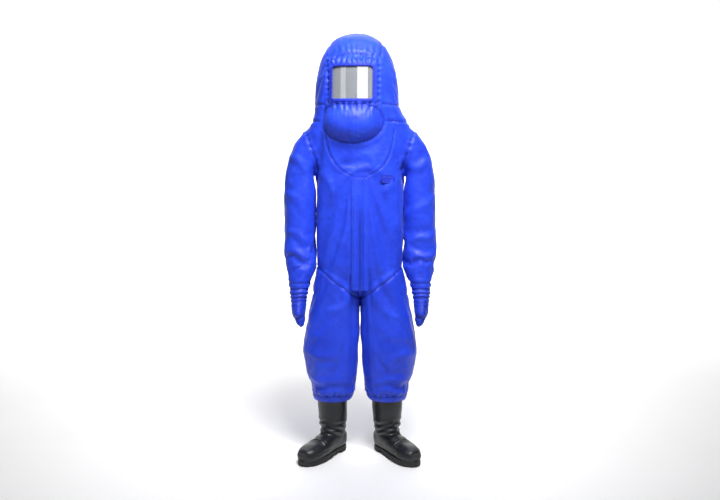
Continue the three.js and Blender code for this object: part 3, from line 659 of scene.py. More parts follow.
def gatherHeight(rest):  # small puckers where fuller cloth is sewn to a shorter edge
    inHood = toHood(rest)
    hx, hy, z = inHood.T
    front = smoothStep(0.02, -0.06, hy)
    wander = roughNoise(rest, 0.05, 5)
    brow = np.exp(-((z - 1.722) / 0.020) ** 2) * smoothStep(0.125, 0.085, np.abs(hx))
    height = 0.0034 * brow * front * np.sin(2 * math.pi * hx / 0.0215 + 2.2 * wander)
    under = np.exp(-((z - 1.536) / 0.016) ** 2) * smoothStep(0.125, 0.08, np.abs(hx))
    height += 0.0026 * under * front * np.sin(2 * math.pi * hx / 0.027 + 2.0 * wander + 1)
    side = np.exp(-((np.abs(hx) - 0.108) / 0.013) ** 2) * smoothStep(1.53, 1.57, z) * smoothStep(1.74, 1.70, z)
    height += 0.0016 * side * front * np.sin(2 * math.pi * z / 0.024 + 2 * wander)
    crown = np.exp(-((z - 1.772) / 0.018) ** 2) * smoothStep(0.12, 0.06, np.abs(hx))
    height += 0.0016 * crown * front * np.sin(2 * math.pi * hx / 0.026 + 2.4 * wander + 2)
    x, y, z = rest.T
    hem = np.exp(-((z - 0.297) / 0.012) ** 2)
    height += 0.0022 * hem * np.sin(np.arctan2(y - axisY, np.abs(x) - 0.12) * 17 + 2 * wander)
    armhole = np.exp(-(beyondArmhole(x, z) / 0.014) ** 2) * (z > 1.28) * (np.abs(x) > 0.17)
    height += 0.0016 * armhole * np.sin(2 * math.pi * (y + z) / 0.030 + 2 * wander)
    return height


def readVectors(mesh, name):
    values = np.empty(len(mesh.vertices) * 3)
    mesh.attributes[name].data.foreach_get("vector", values)
    return values.reshape(-1, 3)


def writeValues(mesh, name, values):
    attribute = mesh.attributes.get(name) or mesh.attributes.new(name, "FLOAT", "POINT")
    attribute.data.foreach_set("value", np.ascontiguousarray(values, dtype=np.float32))


def readNormals(mesh):
    normals = np.empty(len(mesh.vertices) * 3)
    mesh.vertices.foreach_get("normal", normals)
    return normals.reshape(-1, 3)


def sewShell(shell):
    finishWith(shell, "SUBSURF", levels=1, render_levels=1)
    mesh = shell.data
    rest = readVectors(mesh, "cutPlace")
    away, along = seamLines(rest)
    groove = -0.0026 * np.exp(-(away / 0.0045) ** 2) + 0.0011 * np.exp(-((away - 0.013) / 0.007) ** 2)
    fine = 0.0007 * roughNoise(rest, 0.018, 9) + 0.0004 * roughNoise(rest, 0.009, 10)
    onFlap = (np.abs(rest[:, 0]) < 0.04) & (rest[:, 1] < axisY - 0.09) & (rest[:, 2] > 0.76) & (rest[:, 2] < 1.25)
    lift = (groove + gatherHeight(rest) + fine) * np.where(onFlap, 0.0, 1.0)
    setPoints(mesh, getPoints(mesh) + readNormals(mesh) * lift[:, None])
    writeValues(mesh, "seamGap", away)
    writeValues(mesh, "seamRun", along)
    # foldHeight drives painted shade: the fabric material darkens the cloth where it is negative
    folds = np.clip(lift / 0.003, -1, 1)
    writeValues(mesh, "foldHeight", folds)


def openWindow(shell):
    turn = math.radians(suit["hoodTurn"])
    cx, cy = suit["hoodCentre"]
    half = hood["windowWidth"] / 2 - 0.003
    low, high = hood["windowLow"] + 0.003, hood["windowLow"] + hood["windowHeight"] - 0.003
    right = Vector((math.cos(turn), math.sin(turn), 0))
    middle = Vector((cx, cy + axisY, 0))
    centres = None

    def inHoodFrame():
        return toHood(faceCentres(shell.data))

    for point, normal in (
        (middle + right * half, right), (middle - right * half, -right),
        (Vector((0, 0, low)), Vector((0, 0, -1))), (Vector((0, 0, high)), Vector((0, 0, 1))),
    ):
        centres = inHoodFrame()
        near = (np.abs(centres[:, 0]) < half + 0.03) & (centres[:, 1] < -0.08)
        near &= (centres[:, 2] > low - 0.03) & (centres[:, 2] < high + 0.03)
        pick(shell)
        bpy.ops.object.mode_set(mode="EDIT")
        bpy.ops.mesh.select_all(action="DESELECT")
        bpy.ops.object.mode_set(mode="OBJECT")
        shell.data.polygons.foreach_set("select", near)
        bpy.ops.object.mode_set(mode="EDIT")
        bpy.ops.mesh.bisect(plane_co=point, plane_no=normal)
        bpy.ops.object.mode_set(mode="OBJECT")
    centres = inHoodFrame()
    inside = (np.abs(centres[:, 0]) < half) & (centres[:, 1] < -0.08) & (centres[:, 2] > low) & (centres[:, 2] < high)
    bpy.ops.object.mode_set(mode="EDIT")
    bpy.ops.mesh.select_all(action="DESELECT")
    bpy.ops.object.mode_set(mode="OBJECT")
    shell.data.polygons.foreach_set("select", inside)
    bpy.ops.object.mode_set(mode="EDIT")
    bpy.ops.mesh.delete(type="FACE")
    bpy.ops.object.mode_set(mode="OBJECT")


def cutIntoPieces(shell):
    mesh = shell.data
    mesh.update()
    smooth = mesh.attributes.new("clothNormal", "FLOAT_VECTOR", "POINT")
    smooth.data.foreach_set("vector", readNormals(mesh).ravel())
    pick(shell)
    bpy.ops.object.mode_set(mode="EDIT")
    bpy.ops.mesh.select_all(action="SELECT")
    bpy.ops.mesh.separate(type="MATERIAL")
    bpy.ops.object.mode_set(mode="OBJECT")
    pieces = {}
    for obj in list(bpy.context.selected_objects):
        label = obj.data.materials[0].name.replace("label_", "")
        obj.name = label + "_cloth"
        obj.data.name = obj.name
        obj.data.materials.clear()
        pieces[label] = obj
    for label in list(bpy.data.materials):
        if label.name.startswith("label_"):
            bpy.data.materials.remove(label)
    print("cut into", len(pieces), "pieces of cloth")
    return pieces


def thicken(piece, thickness):
    outer = len(piece.data.vertices)
    finishWith(
        piece, "SOLIDIFY", thickness=thickness, offset=-1, use_rim=True, material_offset=1, material_offset_rim=0,
    )
    mesh = piece.data
    normals = readVectors(mesh, "clothNormal")
    lengths = np.linalg.norm(normals, axis=1, keepdims=True)
    normals = normals / np.maximum(lengths, 1e-6)
    normals[outer:] *= -1
    mesh.shade_smooth()
    mesh.normals_split_custom_set_from_vertices(normals)
    mesh.attributes.remove(mesh.attributes["clothNormal"])
    mesh.attributes.remove(mesh.attributes["cutPlace"])


clothThickness = {"suit": 0.0045, "chin_panel": 0.004, "face_panel": 0.003}


def hangOnBodies(pieces):
    for label, piece in pieces.items():
        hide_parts(label)
    for label in ("back_panel", "front_panel_left", "front_panel_right", "neck_bib"):
        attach(pieces[label], "torso")
    for label in ("neck_bellows", "chin_panel"):
        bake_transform(pieces[label])
    for label in ("face_panel", "hood_shell"):
        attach(pieces[label], "hood")
    for side, k in (("left", 1), ("right", -1)):
        for part in ("shoulder_gusset", "upper_sleeve"):
            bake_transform(pieces[f"{side}_{part}"])
        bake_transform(pieces[f"{side}_elbow_section"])
        for part in ("forearm_sleeve", "sleeve_cuff"):
            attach(pieces[f"{side}_{part}"], f"{side}_forearm")
        for part in ("hip_gusset", "thigh_leg"):
            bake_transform(pieces[f"{side}_{part}"])
        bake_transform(pieces[f"{side}_knee_section"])
        for part in ("shin_leg", "hem_band"):
            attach(pieces[f"{side}_{part}"], f"{side}_lower_leg")


shell = buildShell()
openEnds(shell)
openFront(shell)
labelPieces(shell)
restLimbs(shell)
drapeShell(shell)
sewShell(shell)
openWindow(shell)
pieces = cutIntoPieces(shell)
for label, piece in pieces.items():
    thicken(piece, clothThickness.get(label, clothThickness["suit"]))


# Hood: binding, window and lining.
window = {
    "bindingWidth": 0.012,
    "bindingHeight": 0.0042,
    "corner": 0.014,
    "lensThickness": 0.0016,
    "lensInside": 0.0045,  # behind the face of the cloth
    "liningInside": 0.013,
}


def onDrum(across, up, inside=0.0):  # a point of the hood's face, from its place on the sheet before it was bent
    radius = hood["faceRadius"] - inside
    angle = across / hood["faceRadius"]
    local = np.stack([
        radius * np.sin(angle),
        -radius * np.cos(angle) + up * hood["faceLean"],
        np.full_like(angle, hood["windowLow"]) + up,
    ], 1)
    return fromHood(local)


def makeMesh(name, points, faces):
    mesh = bpy.data.meshes.new(name)
    mesh.from_pydata([tuple(p) for p in points], [], faces)
    obj = bpy.data.objects.new(name, mesh)
    bpy.context.collection.objects.link(obj)
    return shade(obj)


def makeBinding():  # a folded strip sewn round the window, with rounded corners
    wide = hood["windowWidth"] / 2 + window["bindingWidth"] / 2 - 0.002
    high = hood["windowHeight"] / 2 + window["bindingWidth"] / 2 - 0.002
    corner = window["corner"] + 0.004
    path = []
    for sx, sz, turn in ((1, 1, 0), (-1, 1, 90), (-1, -1, 180), (1, -1, 270)):
        for step in range(7):
            angle = math.radians(turn + step * 15)
            across = sx * (wide - corner) + corner * math.cos(angle)
            path.append((across, sz * (high - corner) + corner * math.sin(angle)))
    full = []
    for (x0, z0), (x1, z1) in zip(path, path[1:] + path[:1]):
        steps = max(1, int(math.hypot(x1 - x0, z1 - z0) / 0.004))
        for step in range(steps):
            full.append((x0 + (x1 - x0) * step / steps, z0 + (z1 - z0) * step / steps))
    path = np.array(full)
    tangent = np.roll(path, -1, 0) - np.roll(path, 1, 0)
    tangent /= np.linalg.norm(tangent, axis=1, keepdims=True)
    outwards = np.stack([tangent[:, 1], -tangent[:, 0]], 1)
    run = np.cumsum(np.linalg.norm(np.roll(path, -1, 0) - path, axis=1))
    sides = 14
    rings = []
    for i in range(sides):
        angle = 2 * math.pi * i / sides
        flat = math.copysign(abs(math.cos(angle)) ** 0.6, math.cos(angle)) * window["bindingWidth"] / 2
        rise = math.copysign(abs(math.sin(angle)) ** 0.8, math.sin(angle)) * window["bindingHeight"] / 2
        pucker = 0.0004 * np.sin(run * 2 * math.pi / 0.009) * (rise > 0)
        place = path + outwards * flat
        up = place[:, 1] + hood["windowHeight"] / 2
        rings.append(onDrum(place[:, 0], up, -(rise + 0.0012 + pucker)))
    count = len(path)
    points = np.concatenate(rings)
    faces = []
    for i in range(sides):
        for j in range(count):
            a, b = i * count + j, i * count + (j + 1) % count
            c, d = ((i + 1) % sides) * count + (j + 1) % count, ((i + 1) % sides) * count + j
            faces.append((a, b, c, d))
    binding = makeMesh("visor_binding", points, faces)
    pick(binding)
    bpy.ops.object.mode_set(mode="EDIT")
    bpy.ops.mesh.select_all(action="SELECT")
    bpy.ops.mesh.normals_make_consistent(inside=False)
    bpy.ops.object.mode_set(mode="OBJECT")
    writeValues(binding.data, "seamRun", np.tile(run, sides))
    offsets = [abs(math.copysign(abs(math.cos(2 * math.pi * i / sides)) ** 0.6, 1)) for i in range(sides)]
    edge = np.repeat((1 - np.array(offsets)) * window["bindingWidth"] / 2, count)
    writeValues(binding.data, "seamGap", np.abs(edge - 0.0015) + 0.0002)
    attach(binding, "hood")
    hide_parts("visor_frame")
    return binding


def makeLens():
    deselectAll()
    bpy.ops.mesh.primitive_grid_add(x_subdivisions=48, y_subdivisions=32, size=1, location=(0, 0, 0))
    lens = bpy.context.object
    lens.name = "visor_window"
    flat = getPoints(lens.data)
    across = flat[:, 0] * (hood["windowWidth"] + 0.014)
    up = hood["windowHeight"] / 2 + flat[:, 1] * (hood["windowHeight"] + 0.014)
    wave = 0.0006 * roughNoise(np.stack([across, up, up * 0], 1), 0.07, 3)
    points = onDrum(across, up, window["lensInside"])
    points[:, 1] += wave
    setPoints(lens.data, points)
    pick(lens)
    bpy.ops.object.mode_set(mode="EDIT")
    bpy.ops.mesh.select_all(action="SELECT")
    bpy.ops.mesh.normals_make_consistent(inside=False)
    bpy.ops.object.mode_set(mode="OBJECT")
    if lens.data.polygons[0].normal.y > 0:
        lens.data.flip_normals()
    finishWith(lens, "SOLIDIFY", thickness=window["lensThickness"], offset=-1)
    shade(lens)
    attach(lens, "hood")
    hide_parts("visor_lens")
    return lens


def makeLining():  # the pale inner hood, seen through the window; it gets a darker copy of the lining colour as painted shade of the hood's inside
    inside = window["liningInside"]
    rows = [
        (x, z - inside * (z - hood["base"]) / (suit["hoodTop"] - hood["base"]), wide - inside, deep - inside, tilt, 2.2)
        for x, z, wide, deep, tilt, _ in [(*suit["torso"][-1][:5], 2.2)] + hoodSections()
        if wide > inside + 0.004
    ]
    lining = loft("hood_inner", rows, 2.2, sides=64)
    finishWith(lining, "SUBSURF", levels=1, render_levels=1)
    centres = faceCentres(lining.data)
    local = toHood(centres)
    gone = centres[:, 2] < hood["base"] + 0.002
    gone |= (np.abs(local[:, 0]) < 0.128) & (local[:, 1] < -0.04) & (centres[:, 2] < 1.742)
    pick(lining)
    bpy.ops.object.mode_set(mode="EDIT")
    bpy.ops.mesh.select_all(action="DESELECT")
    bpy.ops.object.mode_set(mode="OBJECT")
    lining.data.polygons.foreach_set("select", gone)
    bpy.ops.object.mode_set(mode="EDIT")
    bpy.ops.mesh.select_mode(type="FACE")
    bpy.ops.mesh.delete(type="FACE")
    bpy.ops.object.mode_set(mode="OBJECT")
    points = getPoints(lining.data)
    ripple = 0.002 * roughNoise(points * np.array([1, 1, 0.4]), 0.035, 12)
    setPoints(lining.data, points + readNormals(lining.data) * ripple[:, None])
    finishWith(lining, "SOLIDIFY", thickness=0.0028, offset=-1)
    shade(lining)
    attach(lining, "hood")
    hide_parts("hood_lining")
    return lining


# Storm flap over the zip.
flap = {
    "thickness": 0.0016,
    "ripple": 0.0012,
    "fold": 0.0060,  # the valley down its middle
    "swell": 0.0050,  # the cloth on both sides of the valley
    "overStrips": -0.1156,  # y that clears the hook and loop strips
    "overZip": -0.1146,  # y that clears the pull tab all the way down
}


def frontOfPanels(points, fallback):  # where the front panels lie behind each point, smoothed over the zip's slot
    tree = bpy.context.evaluated_depsgraph_get()
    panels = [BVHTree.FromObject(pieces[name], tree) for name in ("front_panel_left", "front_panel_right")]
    found = np.full(len(points), np.nan)
    for i, (px, py, pz) in enumerate(points):
        hits = [panel.ray_cast(Vector((px, -1, pz)), Vector((0, 1, 0)), 1.0)[0] for panel in panels]
        near = [hit.y for hit in hits if hit is not None]
        if near:
            found[i] = min(near)
    known = ~np.isnan(found)
    level = np.where(known, found, 0)
    spacing = 0.016
    smooth = np.array(fallback)
    for i, point in enumerate(points):
        apart = (points[:, 0] - point[0]) ** 2 + (points[:, 2] - point[2]) ** 2
        weight = np.exp(-apart / spacing ** 2) * known
        if weight.sum() > 0.5:
            smooth[i] = (weight * level).sum() / weight.sum()
    return np.where(known, np.minimum(smooth, level), smooth)


def makeFlap():
    low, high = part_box("storm_flap")
    wide, tall = high.x - low.x, high.z - low.z
    deselectAll()
    bpy.ops.mesh.primitive_grid_add(
        x_subdivisions=18, y_subdivisions=118, size=1,
        location=((low.x + high.x) / 2, (low.y + high.y) / 2, (low.z + high.z) / 2),
        rotation=(math.radians(90), 0, 0),
    )
    cover = bpy.context.object
    cover.name = "storm_flap_cloth"
    cover.scale = (wide, tall, 1)
    bpy.ops.object.transform_apply(location=True, rotation=True, scale=True)
    points = getPoints(cover.data)
    x, y, z = points.T
    free = smoothStep(0.6, -0.9, (x - (low.x + high.x) / 2) / (wide / 2))  # the edge away from its sewing
    wave = np.sin(z * 2 * math.pi / 0.083 + 1.3 * np.sin(z * 21)) * 0.6 + roughNoise(points, 0.045, 21)
    ends = np.maximum(np.abs(z - (low.z + high.z) / 2) - tall / 2 + 0.012, 0) / 0.012
    sides = np.maximum(np.abs(x - (low.x + high.x) / 2) - wide / 2 + 0.012, 0) / 0.012
    inward = 1 - 0.29 * np.minimum(ends, sides) ** 2  # rounded corners
    narrower = np.where(np.minimum(ends, sides) > 0, inward ** 0.35, 1)
    points[:, 0] = (low.x + high.x) / 2 + (x - (low.x + high.x) / 2) * narrower
    middle = smoothStep(0.012, 0.0, np.abs(x)) - 0.5 * smoothStep(0.016, 0.0, np.abs(np.abs(x) - 0.022))
    down = 0.35 + 0.65 * smoothStep(1.25, 0.95, z)
    lift = 0.0016 + flap["ripple"] * (0.3 + free) * (1 + wave) * 0.5
    besideFold = np.exp(-((np.abs(x) - 0.021) / 0.008) ** 2)
    level = np.minimum(frontOfPanels(points, y) - lift, flap["overStrips"]) - flap["swell"] * besideFold * down
    deepest = np.where((np.abs(x) < 0.013) & (z < 1.165), flap["overZip"], flap["overStrips"])
    points[:, 1] = np.minimum(level + flap["fold"] * middle * down, deepest)
    setPoints(cover.data, points)
    if cover.data.polygons[0].normal.y > 0:
        cover.data.flip_normals()
    edge = np.minimum(wide / 2 - np.abs(x - (low.x + high.x) / 2), tall / 2 - np.abs(z - (low.z + high.z) / 2))
    writeValues(cover.data, "seamGap", np.abs(edge - 0.0085) * 0.6 + 0.003)
    writeValues(cover.data, "seamRun", z + x)
    # painted shade: foldHeight darkens a stripe down the flap's middle valley
    writeValues(cover.data, "foldHeight", -np.maximum(middle, 0) * smoothStep(1.19, 1.02, z))
    finishWith(cover, "SOLIDIFY", thickness=flap["thickness"], offset=0)
    finishWith(cover, "BEVEL", width=0.0009, segments=2, limit_method="ANGLE")
    shade(cover)
    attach(cover, "storm_flap")
    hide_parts("storm_flap")
    return cover


# Blank patch on the chest.
def copyNodes(names, name):  # a merged copy of CAD nodes to model from
    copies = []
    for node in names:
        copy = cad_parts[node].copy()
        copy.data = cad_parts[node].data.copy()
        bpy.context.collection.objects.link(copy)
        copy.hide_render = copy.hide_viewport = False
        copy.parent = None
        copy.matrix_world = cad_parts[node].matrix_world.copy()
        copies.append(copy)
    merged = joinAll(copies, name)
    pick(merged)
    bpy.ops.object.transform_apply(location=True, rotation=True, scale=True)
    bpy.ops.object.mode_set(mode="EDIT")
    bpy.ops.mesh.select_all(action="SELECT")
    bpy.ops.mesh.remove_doubles(threshold=0.00002)
    bpy.ops.object.mode_set(mode="OBJECT")
    merged.data.name = name
    return merged


def makePatch():
    patch = copyNodes(["chest_patch"], "chest_patch_cloth")
    finishWith(patch, "REMESH", mode="VOXEL", voxel_size=0.0008, use_smooth_shade=True)
    finishWith(patch, "SMOOTH", factor=0.5, iterations=6)
    points = getPoints(patch.data)
    low, high = points.min(0), points.max(0)
    u = (points[:, 0] - low[0]) / (high[0] - low[0])
    v = (points[:, 2] - low[2]) / (high[2] - low[2])
    edge = np.minimum(np.minimum(u, 1 - u) * 0.061, np.minimum(v, 1 - v) * 0.034)
    rim = 0.0009 * smoothStep(0.0045, 0.003, edge)
    setPoints(patch.data, points + readNormals(patch.data) * rim[:, None])
    writeValues(patch.data, "seamGap", np.abs(edge - 0.0052))
    writeValues(patch.data, "seamRun", points[:, 0] + points[:, 2])
    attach(patch, "torso")
    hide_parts("chest_patch")
    return patch


# Gloves.
glove = {"voxel": 0.0028, "wrinkle": 0.0026, "padding": 0.0085}


def makeGlove(side, k):
    parts = [f"{side}_glove_gauntlet", f"{side}_glove_wrist", f"{side}_glove_hand"]
    hand = copyNodes(parts, f"{side}_glove")
    finishWith(hand, "REMESH", mode="VOXEL", voxel_size=glove["voxel"], use_smooth_shade=True)
    finishWith(hand, "SMOOTH", factor=0.5, iterations=9)
    points = getPoints(hand.data)
    x, y, z = points.T
    wristFold = np.exp(-((z - 0.735) / 0.03) ** 2)
    palm = smoothStep(0.735, 0.70, z)
    padding = glove["padding"] * smoothStep(0.775, 0.745, z) * smoothStep(0.60, 0.64, z)
    points += readNormals(hand.data) * padding[:, None]
    turns = (z + 0.3 * (y - axisY)) / 0.019
    height = glove["wrinkle"] * wristFold * np.sin(2 * math.pi * turns + 2 * roughNoise(points, 0.04, 31))
    height += 0.0012 * palm * roughNoise(points * np.array([1, 0.7, 1.6]), 0.02, 32)
    knuckle = np.exp(-((z - 0.652) / 0.006) ** 2) + np.exp(-((z - 0.634) / 0.005) ** 2)
    height -= 0.0010 * knuckle
    setPoints(hand.data, points + readNormals(hand.data) * height[:, None])
    away = np.abs(x * k - 0.262)
    writeValues(hand.data, "seamGap", np.where(z < 0.72, away + 0.0005, 0.1))
    writeValues(hand.data, "seamRun", z + y)
    # painted shade: foldHeight darkens the glove's wrinkle and knuckle valleys in the material
    writeValues(hand.data, "foldHeight", np.clip(height / 0.002, -1, 1))
    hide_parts(*parts)
    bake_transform(hand)
    return hand


# Boots: sections along the foot as (x, y, z, half width, half height), the ankle's axis at x 0, y 0.
boot = {
    "x": 0.123,
    "ankleY": 0.024,
    "splay": {"left": 33, "right": -36},
    "top": 0.345,
    "soleTop": 0.0263,
    "wall": 0.004,
    "foot": [
        (0, 0.072, 0.062, 0.022, 0.026), (0, 0.056, 0.064, 0.038, 0.042), (0, 0.030, 0.068, 0.043, 0.050),
        (0, -0.030, 0.066, 0.043, 0.052), (0.002, -0.090, 0.052, 0.049, 0.042), (0.002, -0.150, 0.046, 0.051, 0.036),
        (0.001, -0.184, 0.044, 0.046, 0.033), (0, -0.204, 0.043, 0.035, 0.027), (0, -0.212, 0.042, 0.026, 0.022),
    ],
    "shaft": [
        (0, 0.002, 0.060, 0.044, 0.060), (0, 0.004, 0.110, 0.052, 0.062), (0, 0.002, 0.160, 0.062, 0.066),
        (0, 0, 0.258, 0.0675, 0.0705), (0, 0, 0.345, 0.0705, 0.0725), (0, 0, 0.36, 0.0708, 0.0728),
    ],
}


def bootLoft(name, sections, upright, square, sides=48):
    points, faces = [], []
    for x, y, z, wide, high in sections:
        for i in range(sides):
            across, other = superellipse(2 * math.pi * i / sides, square)
            if upright:
                points.append((x + wide * across, y + high * other, z))
            else:
                points.append((x + wide * across, y, z + high * other))
    for r in range(len(sections) - 1):
        for i in range(sides):
            j = (i + 1) % sides
            faces.append((r * sides + i, r * sides + j, (r + 1) * sides + j, (r + 1) * sides + i))
    faces.append(tuple(range(sides)))
    faces.append(tuple(range((len(sections) - 1) * sides, len(sections) * sides)))
    mesh = bpy.data.meshes.new(name)
    mesh.from_pydata(points, [], faces)
    obj = bpy.data.objects.new(name, mesh)
    bpy.context.collection.objects.link(obj)
    pick(obj)
    bpy.ops.object.mode_set(mode="EDIT")
    bpy.ops.mesh.select_all(action="SELECT")
    bpy.ops.mesh.normals_make_consistent(inside=False)
    bpy.ops.object.mode_set(mode="OBJECT")
    return obj


def turnOut(obj, side, k):
    obj.rotation_euler.z = math.radians(boot["splay"][side])
    obj.location = (k * boot["x"], axisY + boot["ankleY"], 0)
    pick(obj)
    bpy.ops.object.transform_apply(location=True, rotation=True, scale=True)


def makeBoot(side, k):
    upper = joinAll(
        [bootLoft("foot", boot["foot"], False, 2.4), bootLoft("shaft", boot["shaft"], True, 2.0)],
        f"{side}_boot_rubber",
    )
    finishWith(upper, "REMESH", mode="VOXEL", voxel_size=0.0036, use_smooth_shade=True)
    finishWith(upper, "SMOOTH", factor=0.5, iterations=14)
    for point, normal in (((0, 0, boot["soleTop"]), (0, 0, -1)), ((0, 0, boot["top"]), (0, 0, 1))):
        cutAt(upper, lambda c: True, point, normal)
    points = getPoints(upper.data)
    x, y, z = points.T
    front = smoothStep(0.02, -0.05, y)
    wander = roughNoise(points, 0.05, 40 if k > 0 else 41)
    ankle = np.exp(-((z - 0.125) / 0.035) ** 2)
    height = 0.0042 * ankle * (0.35 + 0.65 * front) * np.sin(2 * math.pi * (z + 0.25 * y) / 0.030 + 2.4 * wander)
    shaftDent = smoothStep(0.16, 0.22, z)
    height += 0.0045 * shaftDent * roughNoise(points * np.array([1, 1, 0.6]), 0.06, 42 if k > 0 else 43)
    vamp = np.exp(-((y + 0.115) / 0.02) ** 2) * smoothStep(0.05, 0.075, z) * (z < 0.12)
    height += 0.0020 * vamp * np.sin(2 * math.pi * y / 0.014 + wander)
    toeCap = smoothStep(-0.128, -0.132, y) * (z < 0.11)
    height += 0.0011 * toeCap  # the step of the toe reinforcement
    rand = smoothStep(0.047, 0.044, z)
    height += 0.0016 * rand  # foxing strip above the sole
    heelCap = smoothStep(0.030, 0.034, y) * smoothStep(0.088, 0.085, z)
    height += 0.0010 * heelCap
    backSeam = np.exp(-(x / 0.0035) ** 2) * (y > 0.02) * (z > 0.08)
    height += 0.0010 * backSeam
    points = points + readNormals(upper.data) * height[:, None]
    setPoints(upper.data, points)
    finishWith(upper, "SUBSURF", levels=1, render_levels=1)
    finishWith(upper, "SOLIDIFY", thickness=boot["wall"], offset=-1)
    shade(upper)
    turnOut(upper, side, k)
    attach(upper, f"{side}_lower_leg")
    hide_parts(f"{side}_boot_upper")
    return upper


hangOnBodies(pieces)
binding = makeBinding()
lens = makeLens()
lining = makeLining()
flapCover = makeFlap()
patch = makePatch()
gloves = {side: makeGlove(side, k) for side, k in (("left", 1), ("right", -1))}
boots = {side: makeBoot(side, k) for side, k in (("left", 1), ("right", -1))}
print("hood, flap, patch, gloves and boots made")


# Outsoles.
def makeSole(side, k):
    sole = copyNodes([f"{side}_boot_outsole"], f"{side}_boot_sole")
    finishWith(sole, "REMESH", mode="VOXEL", voxel_size=0.0021, use_smooth_shade=True)
    finishWith(sole, "SMOOTH", factor=0.5, iterations=10)
    points = getPoints(sole.data)
    normals = readNormals(sole.data)
    x, y, z = points.T
    wall = smoothStep(0.75, 0.4, np.abs(normals[:, 2]))
    welt = np.exp(-((z - 0.0195) / 0.0022) ** 2)
    turn = math.radians(boot["splay"][side])
    along = -(x - k * boot["x"]) * math.sin(turn) + (y - axisY - boot["ankleY"]) * math.cos(turn)
    across = (x - k * boot["x"]) * math.cos(turn) + (y - axisY - boot["ankleY"]) * math.sin(turn)
    ribs = np.sign(np.sin(2 * math.pi * (along + 0.5 * np.abs(across)) / 0.011))
    height = -0.0011 * welt * wall
    height += 0.0007 * wall * ribs * smoothStep(0.016, 0.014, z)
    under = smoothStep(-0.6, -0.9, normals[:, 2])
    height += 0.0012 * under * (ribs - 1)
    setPoints(sole.data, points + normals * height[:, None])
    shade(sole)
    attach(sole, f"{side}_lower_leg")
    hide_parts(f"{side}_boot_outsole")
    return sole


# Zip teeth on the two tapes.
teeth = {"pitch": 0.0042, "width": 0.0044, "height": 0.0022, "thickness": 0.0026}


def makeTeeth():
    rows = {}
    for node, k in (("zip_half_left", 1), ("zip_half_right", -1)):
        low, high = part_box(node)
        deselectAll()
        bpy.ops.mesh.primitive_cube_add(size=1, location=(k * 0.0014, low.y - 0.0006, low.z + 0.006))
        tooth = bpy.context.object
        tooth.name = node + "_teeth"
        tooth.scale = (teeth["width"], teeth["thickness"], teeth["height"])
        bpy.ops.object.transform_apply(location=True, rotation=True, scale=True)
        finishWith(tooth, "BEVEL", width=0.0005, segments=1)
        count = int((high.z - low.z - 0.012) / teeth["pitch"])
        if k < 0:
            setPoints(tooth.data, getPoints(tooth.data) + np.array([0, 0, teeth["pitch"] / 2]))
        finishWith(
            tooth, "ARRAY", count=count, use_relative_offset=False, use_constant_offset=True,
            constant_offset_displace=(0, 0, teeth["pitch"]),
        )
        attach(tooth, "torso")
        rows[node] = tooth
    return rows


soles = {side: makeSole(side, k) for side, k in (("left", 1), ("right", -1))}
zipTeeth = makeTeeth()


# Shared effects: each gives a colour, a mask or a height.
def newGroup(name, inputs, outputs):
    group = bpy.data.node_groups.new(name, "ShaderNodeTree")
    for label, kind, value in inputs:
        socket = group.interface.new_socket(label, in_out="INPUT", socket_type=kind)
        if value is not None:
            socket.default_value = value
    for label, kind in outputs:
        group.interface.new_socket(label, in_out="OUTPUT", socket_type=kind)
    start = group.nodes.new("NodeGroupInput")
    end = group.nodes.new("NodeGroupOutput")
    return group, start.outputs, end.inputs


def addNode(tree, kind, settings=None, **sockets):
    node = tree.nodes.new(kind)
    for name, value in (settings or {}).items():
        setattr(node, name, value)
    for name, value in sockets.items():
        target = node.inputs[int(name[1:])] if name[0] == "i" and name[1:].isdigit() else node.inputs[name]
        if isinstance(value, bpy.types.NodeSocket):
            tree.links.new(value, target)
        else:
            target.default_value = value
    return node


def compute(tree, operation, first, second=0.0, clamp=False):
    return addNode(tree, "ShaderNodeMath", {"operation": operation, "use_clamp": clamp}, i0=first, i1=second).outputs[0]


def buildWeave():  # fine crossing threads on a coated cloth
    group, given, result = newGroup(
        "clothWeave",
        [("Threads", "NodeSocketFloat", 600.0), ("Unevenness", "NodeSocketFloat", 0.3)],
        [("Height", "NodeSocketFloat"), ("Shade", "NodeSocketFloat")],
    )
    place = addNode(group, "ShaderNodeTexCoord").outputs["Object"]
    bent = addNode(group, "ShaderNodeTexNoise", Vector=place, Scale=38.0, Detail=2.0).outputs["Fac"]
    split = addNode(group, "ShaderNodeSeparateXYZ", Vector=place).outputs
    shift = compute(group, "MULTIPLY", bent, 0.004)
    sideways = compute(group, "ADD", compute(group, "ADD", split["X"], split["Y"]), shift)
    upright = compute(group, "ADD", split["Z"], shift)
    warp = compute(group, "SINE", compute(group, "MULTIPLY", sideways, given["Threads"]))
    weft = compute(group, "SINE", compute(group, "MULTIPLY", upright, given["Threads"]))
    both = compute(group, "MULTIPLY", warp, weft)
    grain = addNode(group, "ShaderNodeTexNoise", Vector=place, Scale=900.0, Detail=2.0, Roughness=0.6).outputs["Fac"]
    mixed = addNode(
        group, "ShaderNodeMix", {"data_type": "FLOAT"},
        i0=given["Unevenness"], i2=compute(group, "MULTIPLY_ADD", both, 0.5), i3=grain,
    ).outputs[0]
    group.links.new(mixed, result["Height"])
    cloudy = addNode(group, "ShaderNodeTexNoise", Vector=place, Scale=9.0, Detail=4.0, Roughness=0.55).outputs["Fac"]
    group.links.new(cloudy, result["Shade"])
    return group


